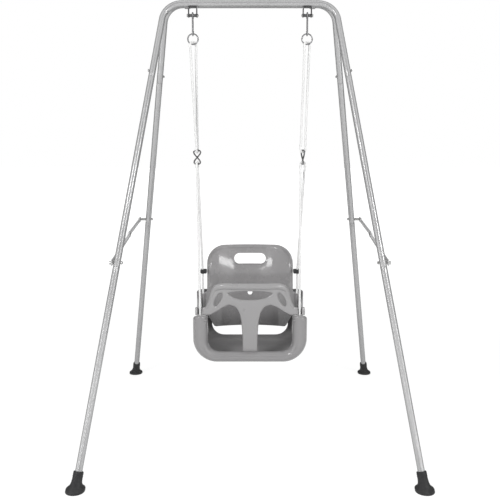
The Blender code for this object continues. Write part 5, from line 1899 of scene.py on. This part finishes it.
# A bolt through a leg: nut, shank and a washer up to the arm. The front one runs on through the arm to
# its head; the rear one's head belongs to the arm.
def legBolt(label, sideName, middle, washerEnd, headStart=None):
    bolt, washer, edge = brace["bolt"], brace["washer"], brace["washerEdge"]
    nut, nutTall = brace["nut"]
    surface = middle[0] + flatSeat(washer)
    nutEnd = middle[0] - flatSeat(nut) - nutTall
    stations = [
        (nutEnd - 0.0008, 0.0), (nutEnd - 0.0008, bolt - 0.0005), (nutEnd - 0.0003, bolt), (nutEnd, bolt),
        *hexStations(nutEnd, nutTall, nut), (nutEnd + nutTall, bolt), (surface, bolt),
        (surface, washer - edge), (surface + edge, washer), (washerEnd - edge, washer),
        (washerEnd, washer - edge),
    ]
    hexes = [(5, 7)]
    if headStart:
        head, tall = brace["head"]
        stations += [(washerEnd, bolt), (headStart, bolt)]
        hexes.append((len(stations) + 1, len(stations) + 3))
        stations += [*hexStations(headStart, tall, head), (headStart + tall, 0.0)]
    else:
        stations += [(washerEnd, 0.0)]
    node, sides = f"{label}_brace_bolt_{sideName}", fasteners["hexSides"]
    origin, outward = (0.0, *middle[1:]), bothSides[sideName]
    boltPiece(node, label + "_frame", origin, outward, stations, sides, hexes, fasteners["hexAngle"])


# Both arms of a side, the rear one outside the front one, with their rivet and bolts.
def makeBraces(sideName):
    side = bothSides[sideName]
    front, knuckle, rear = bracePoints()
    bolt = brace["bolt"]
    inner = front[0] + flatSeat(brace["washer"]) + brace["washerGap"] + gap
    rearInner = inner + brace["thickness"] + brace["layerGap"]
    low, high = inner - gap, rearInner + brace["thickness"] + gap
    frontBody = "brace_front_" + sideName
    rearBody = "brace_rear_" + sideName
    makeArm("brace_front_arm_" + sideName, frontBody, front[1:], knuckle, inner, side, -1)
    makeArm("brace_rear_arm_" + sideName, rearBody, knuckle, rear[1:], rearInner, side, 1)
    makeRivet("knuckle_rivet_" + sideName, frontBody, low, high, (0.0, *knuckle), side)
    head, tall = brace["head"]
    stub = [(rearInner, 0.0), (rearInner, bolt), (high, bolt)]
    stations = [*stub, *hexStations(high, tall, head), (high + tall, 0.0)]
    node, sides = "brace_end_cap_" + sideName, fasteners["hexSides"]
    boltPiece(node, rearBody, (0.0, *rear[1:]), side, stations, sides, [(4, 6)], fasteners["hexAngle"])
    legBolt("front", sideName, front, low, inner + brace["thickness"] + gap)
    legBolt("rear", sideName, rear, rearInner - brace["layerGap"])


for sideLabel in bothSides:
    makeBraces(sideLabel)
print("braces made")

tubeEnds = {
    "lip": 0.0009,
    "depth": 0.03,
    "flare": 0.0003,
    "seam": 0.0003,
    "spigotGap": 0.0005,
    "spigot": 0.048,
    "swageLength": 0.006,
    "plain": 0.02,  # how far from its ends a tube's plain stretch starts
}


# The bent top tube as one sweep: out of the left bore, over its lip, round the bends and into the right
# bore.
def topTube(label):
    radius = stand["tube"] / 2
    bore = radius - stand["wall"]
    start = stand["upperJoint"] + tubeEnds["seam"]
    corners = [onLeg(label, -1, start), legCorner(label, -1), legCorner(label, 1), onLeg(label, 1, start)]
    route = bentRoute(corners, stand["bend"], 0.003)
    straight = [resampled(end, tubeEnds["plain"])[1:-1] for end in (route[:2], route[-2:])]
    lip, depth = tubeEnds["lip"], tubeEnds["depth"]
    up, upRight = legAxis(label, -1), legAxis(label, 1)
    inside = np.array([depth, depth, lip, 0.0, 0.0, lip * 0.3, lip])
    insideRadius = np.array([
        0.0, bore, bore, bore + tubeEnds["flare"], radius - lip * 0.6, radius - lip * 0.15, radius,
    ])
    leftEnd = route[0] + inside[:, None] * up
    rightEnd = route[-1] + inside[::-1, None] * upRight
    main = np.concatenate([straight[0], route[1:-1], straight[1]])
    centres = np.concatenate([leftEnd, main, rightEnd])
    radii = np.concatenate([insideRadius, np.full(len(main), radius), insideRadius[::-1]])
    along = tangents(np.concatenate([route[:1], main, route[-1:]]))[1:-1]
    along = np.concatenate([np.tile(up, (len(inside), 1)), along, np.tile(-upRight, (len(inside), 1))])
    normal = np.tile(unit(np.cross(up, [1.0, 0.0, 0.0])), (len(centres), 1))
    points = rings(centres, unit(np.cross(along, normal)), normal, radii, stand["sides"]).reshape(-1, 3)
    shape = points, gridFaces(len(centres), stand["sides"], wrapColumns=True)
    makePiece(label + "_top_frame", label + "_frame", "grey_steel", shape, name=label + "TopTube")


# A straight leg tube: a bore at its foot, a narrow spigot at its head and a rolled shoulder between.
def legTube(label, sideName, part, low, high):
    radius = stand["tube"] / 2
    side = bothSides[sideName]
    seam, lip, depth = tubeEnds["seam"], tubeEnds["lip"], tubeEnds["depth"]
    length = high - low - seam
    bore = radius - stand["wall"]
    spigot, tip = bore - tubeEnds["spigotGap"], length + tubeEnds["spigot"]
    plain = tubeEnds["plain"]
    stations = [
        (depth, 0.0), (depth, bore), (lip, bore), (0.0, bore + tubeEnds["flare"]), (0.0, radius - lip * 0.6),
        (lip * 0.3, radius - lip * 0.15), (lip, radius),
        *[(s, radius) for s in np.linspace(plain, length - plain, 10)],
        (length - lip, radius), (length - lip * 0.3, radius - lip * 0.2), (length, radius - lip * 0.8),
        (length + seam * 0.5, spigot), (length + tubeEnds["swageLength"], spigot), (tip - 0.002, spigot),
        (tip - 0.0005, spigot - 0.0008), (tip, spigot - 0.0018), (tip, 0.0),
    ]
    shape = lathed(onLeg(label, side, low + seam), legAxis(label, side), stations, stand["sides"])
    makePiece(f"{label}_{part}_leg_{sideName}", label + "_frame", "grey_steel", shape)


foot = {
    "flare": 0.028,
    "collar": 0.0145,
    "socketSlack": 0.0006,
    "socketDepth": 0.036,
    "straightFrom": 0.03,
    "steps": [
        # how far up, how far from the upright to the leg's slant, radius as a share from collar to flare
        (0.0, 0.0, 0.93), (0.0006, 0.0, 0.965), (0.002, 0.0, 1.0), (0.006, 0.0, 1.0), (0.0078, 0.02, 0.985),
        (0.0092, 0.05, 0.93), (0.0108, 0.08, 0.8), (0.0125, 0.12, 0.62), (0.0148, 0.2, 0.43),
        (0.018, 0.35, 0.26), (0.022, 0.55, 0.145), (0.0262, 0.75, 0.075), (0.030, 0.9, 0.04),
        (0.034, 1.0, 0.015), (0.038, 1.0, 0.0), (0.0405, 1.0, 0.0), (0.0412, 1.0, 0.03), (0.0435, 1.0, 0.03),
        (0.0442, 1.0, 0.0), (0.0468, 1.0, 0.0), (0.0475, 1.0, 0.03), (0.0498, 1.0, 0.03), (0.0505, 1.0, 0.0),
        (0.0545, 1.0, -0.005), (0.0555, 1.0, -0.03), (0.056, 1.0, -0.075),
    ],
    "sides": 64,
}


# A boot lofted from a flat round sole to a collar square to the leg; the rings lean over little by
# little.
def rubberFoot(label, sideName):
    side = bothSides[sideName]
    rise, lean, share = np.array(foot["steps"]).T[:, :, None]
    axis = legAxis(label, side)
    point = legFoot(label, side)
    radii = foot["collar"] + (foot["flare"] - foot["collar"]) * share[:, 0]
    direction = unit(upward * (1 - lean) + axis * lean)
    slanting = axis * rise / axis[2] * (1 - lean) + axis * rise * lean
    centres = point + np.where(rise > foot["straightFrom"], axis * rise, slanting)
    top = centres[-1]
    bottom = top - axis * foot["socketDepth"]
    socket = stand["tube"] / 2 + foot["socketSlack"]
    centres = np.concatenate([point[None], centres, [top, bottom, bottom]])
    radii = np.concatenate([[0.0], radii, [socket, socket, 0.0]])
    direction = np.concatenate([direction[:1], direction, np.tile(axis, (3, 1))])
    across = unit(np.cross(direction, np.tile([0.0, 1.0, 0.0], (len(direction), 1))))
    points = rings(centres, across, np.cross(direction, across), radii, foot["sides"]).reshape(-1, 3)
    shape = points, gridFaces(len(centres), foot["sides"], wrapColumns=True)
    makePiece(f"{label}_foot_{sideName}", label + "_frame", "black_rubber", shape)


for frameLabel in frames:
    topTube(frameLabel)
    for sideLabel in bothSides:
        joint = stand["lowerJoint"][frameLabel]
        legTube(frameLabel, sideLabel, "middle", joint, stand["upperJoint"])
        legTube(frameLabel, sideLabel, "lower", stand["footEnd"], joint)
        rubberFoot(frameLabel, sideLabel)
print("stand made")
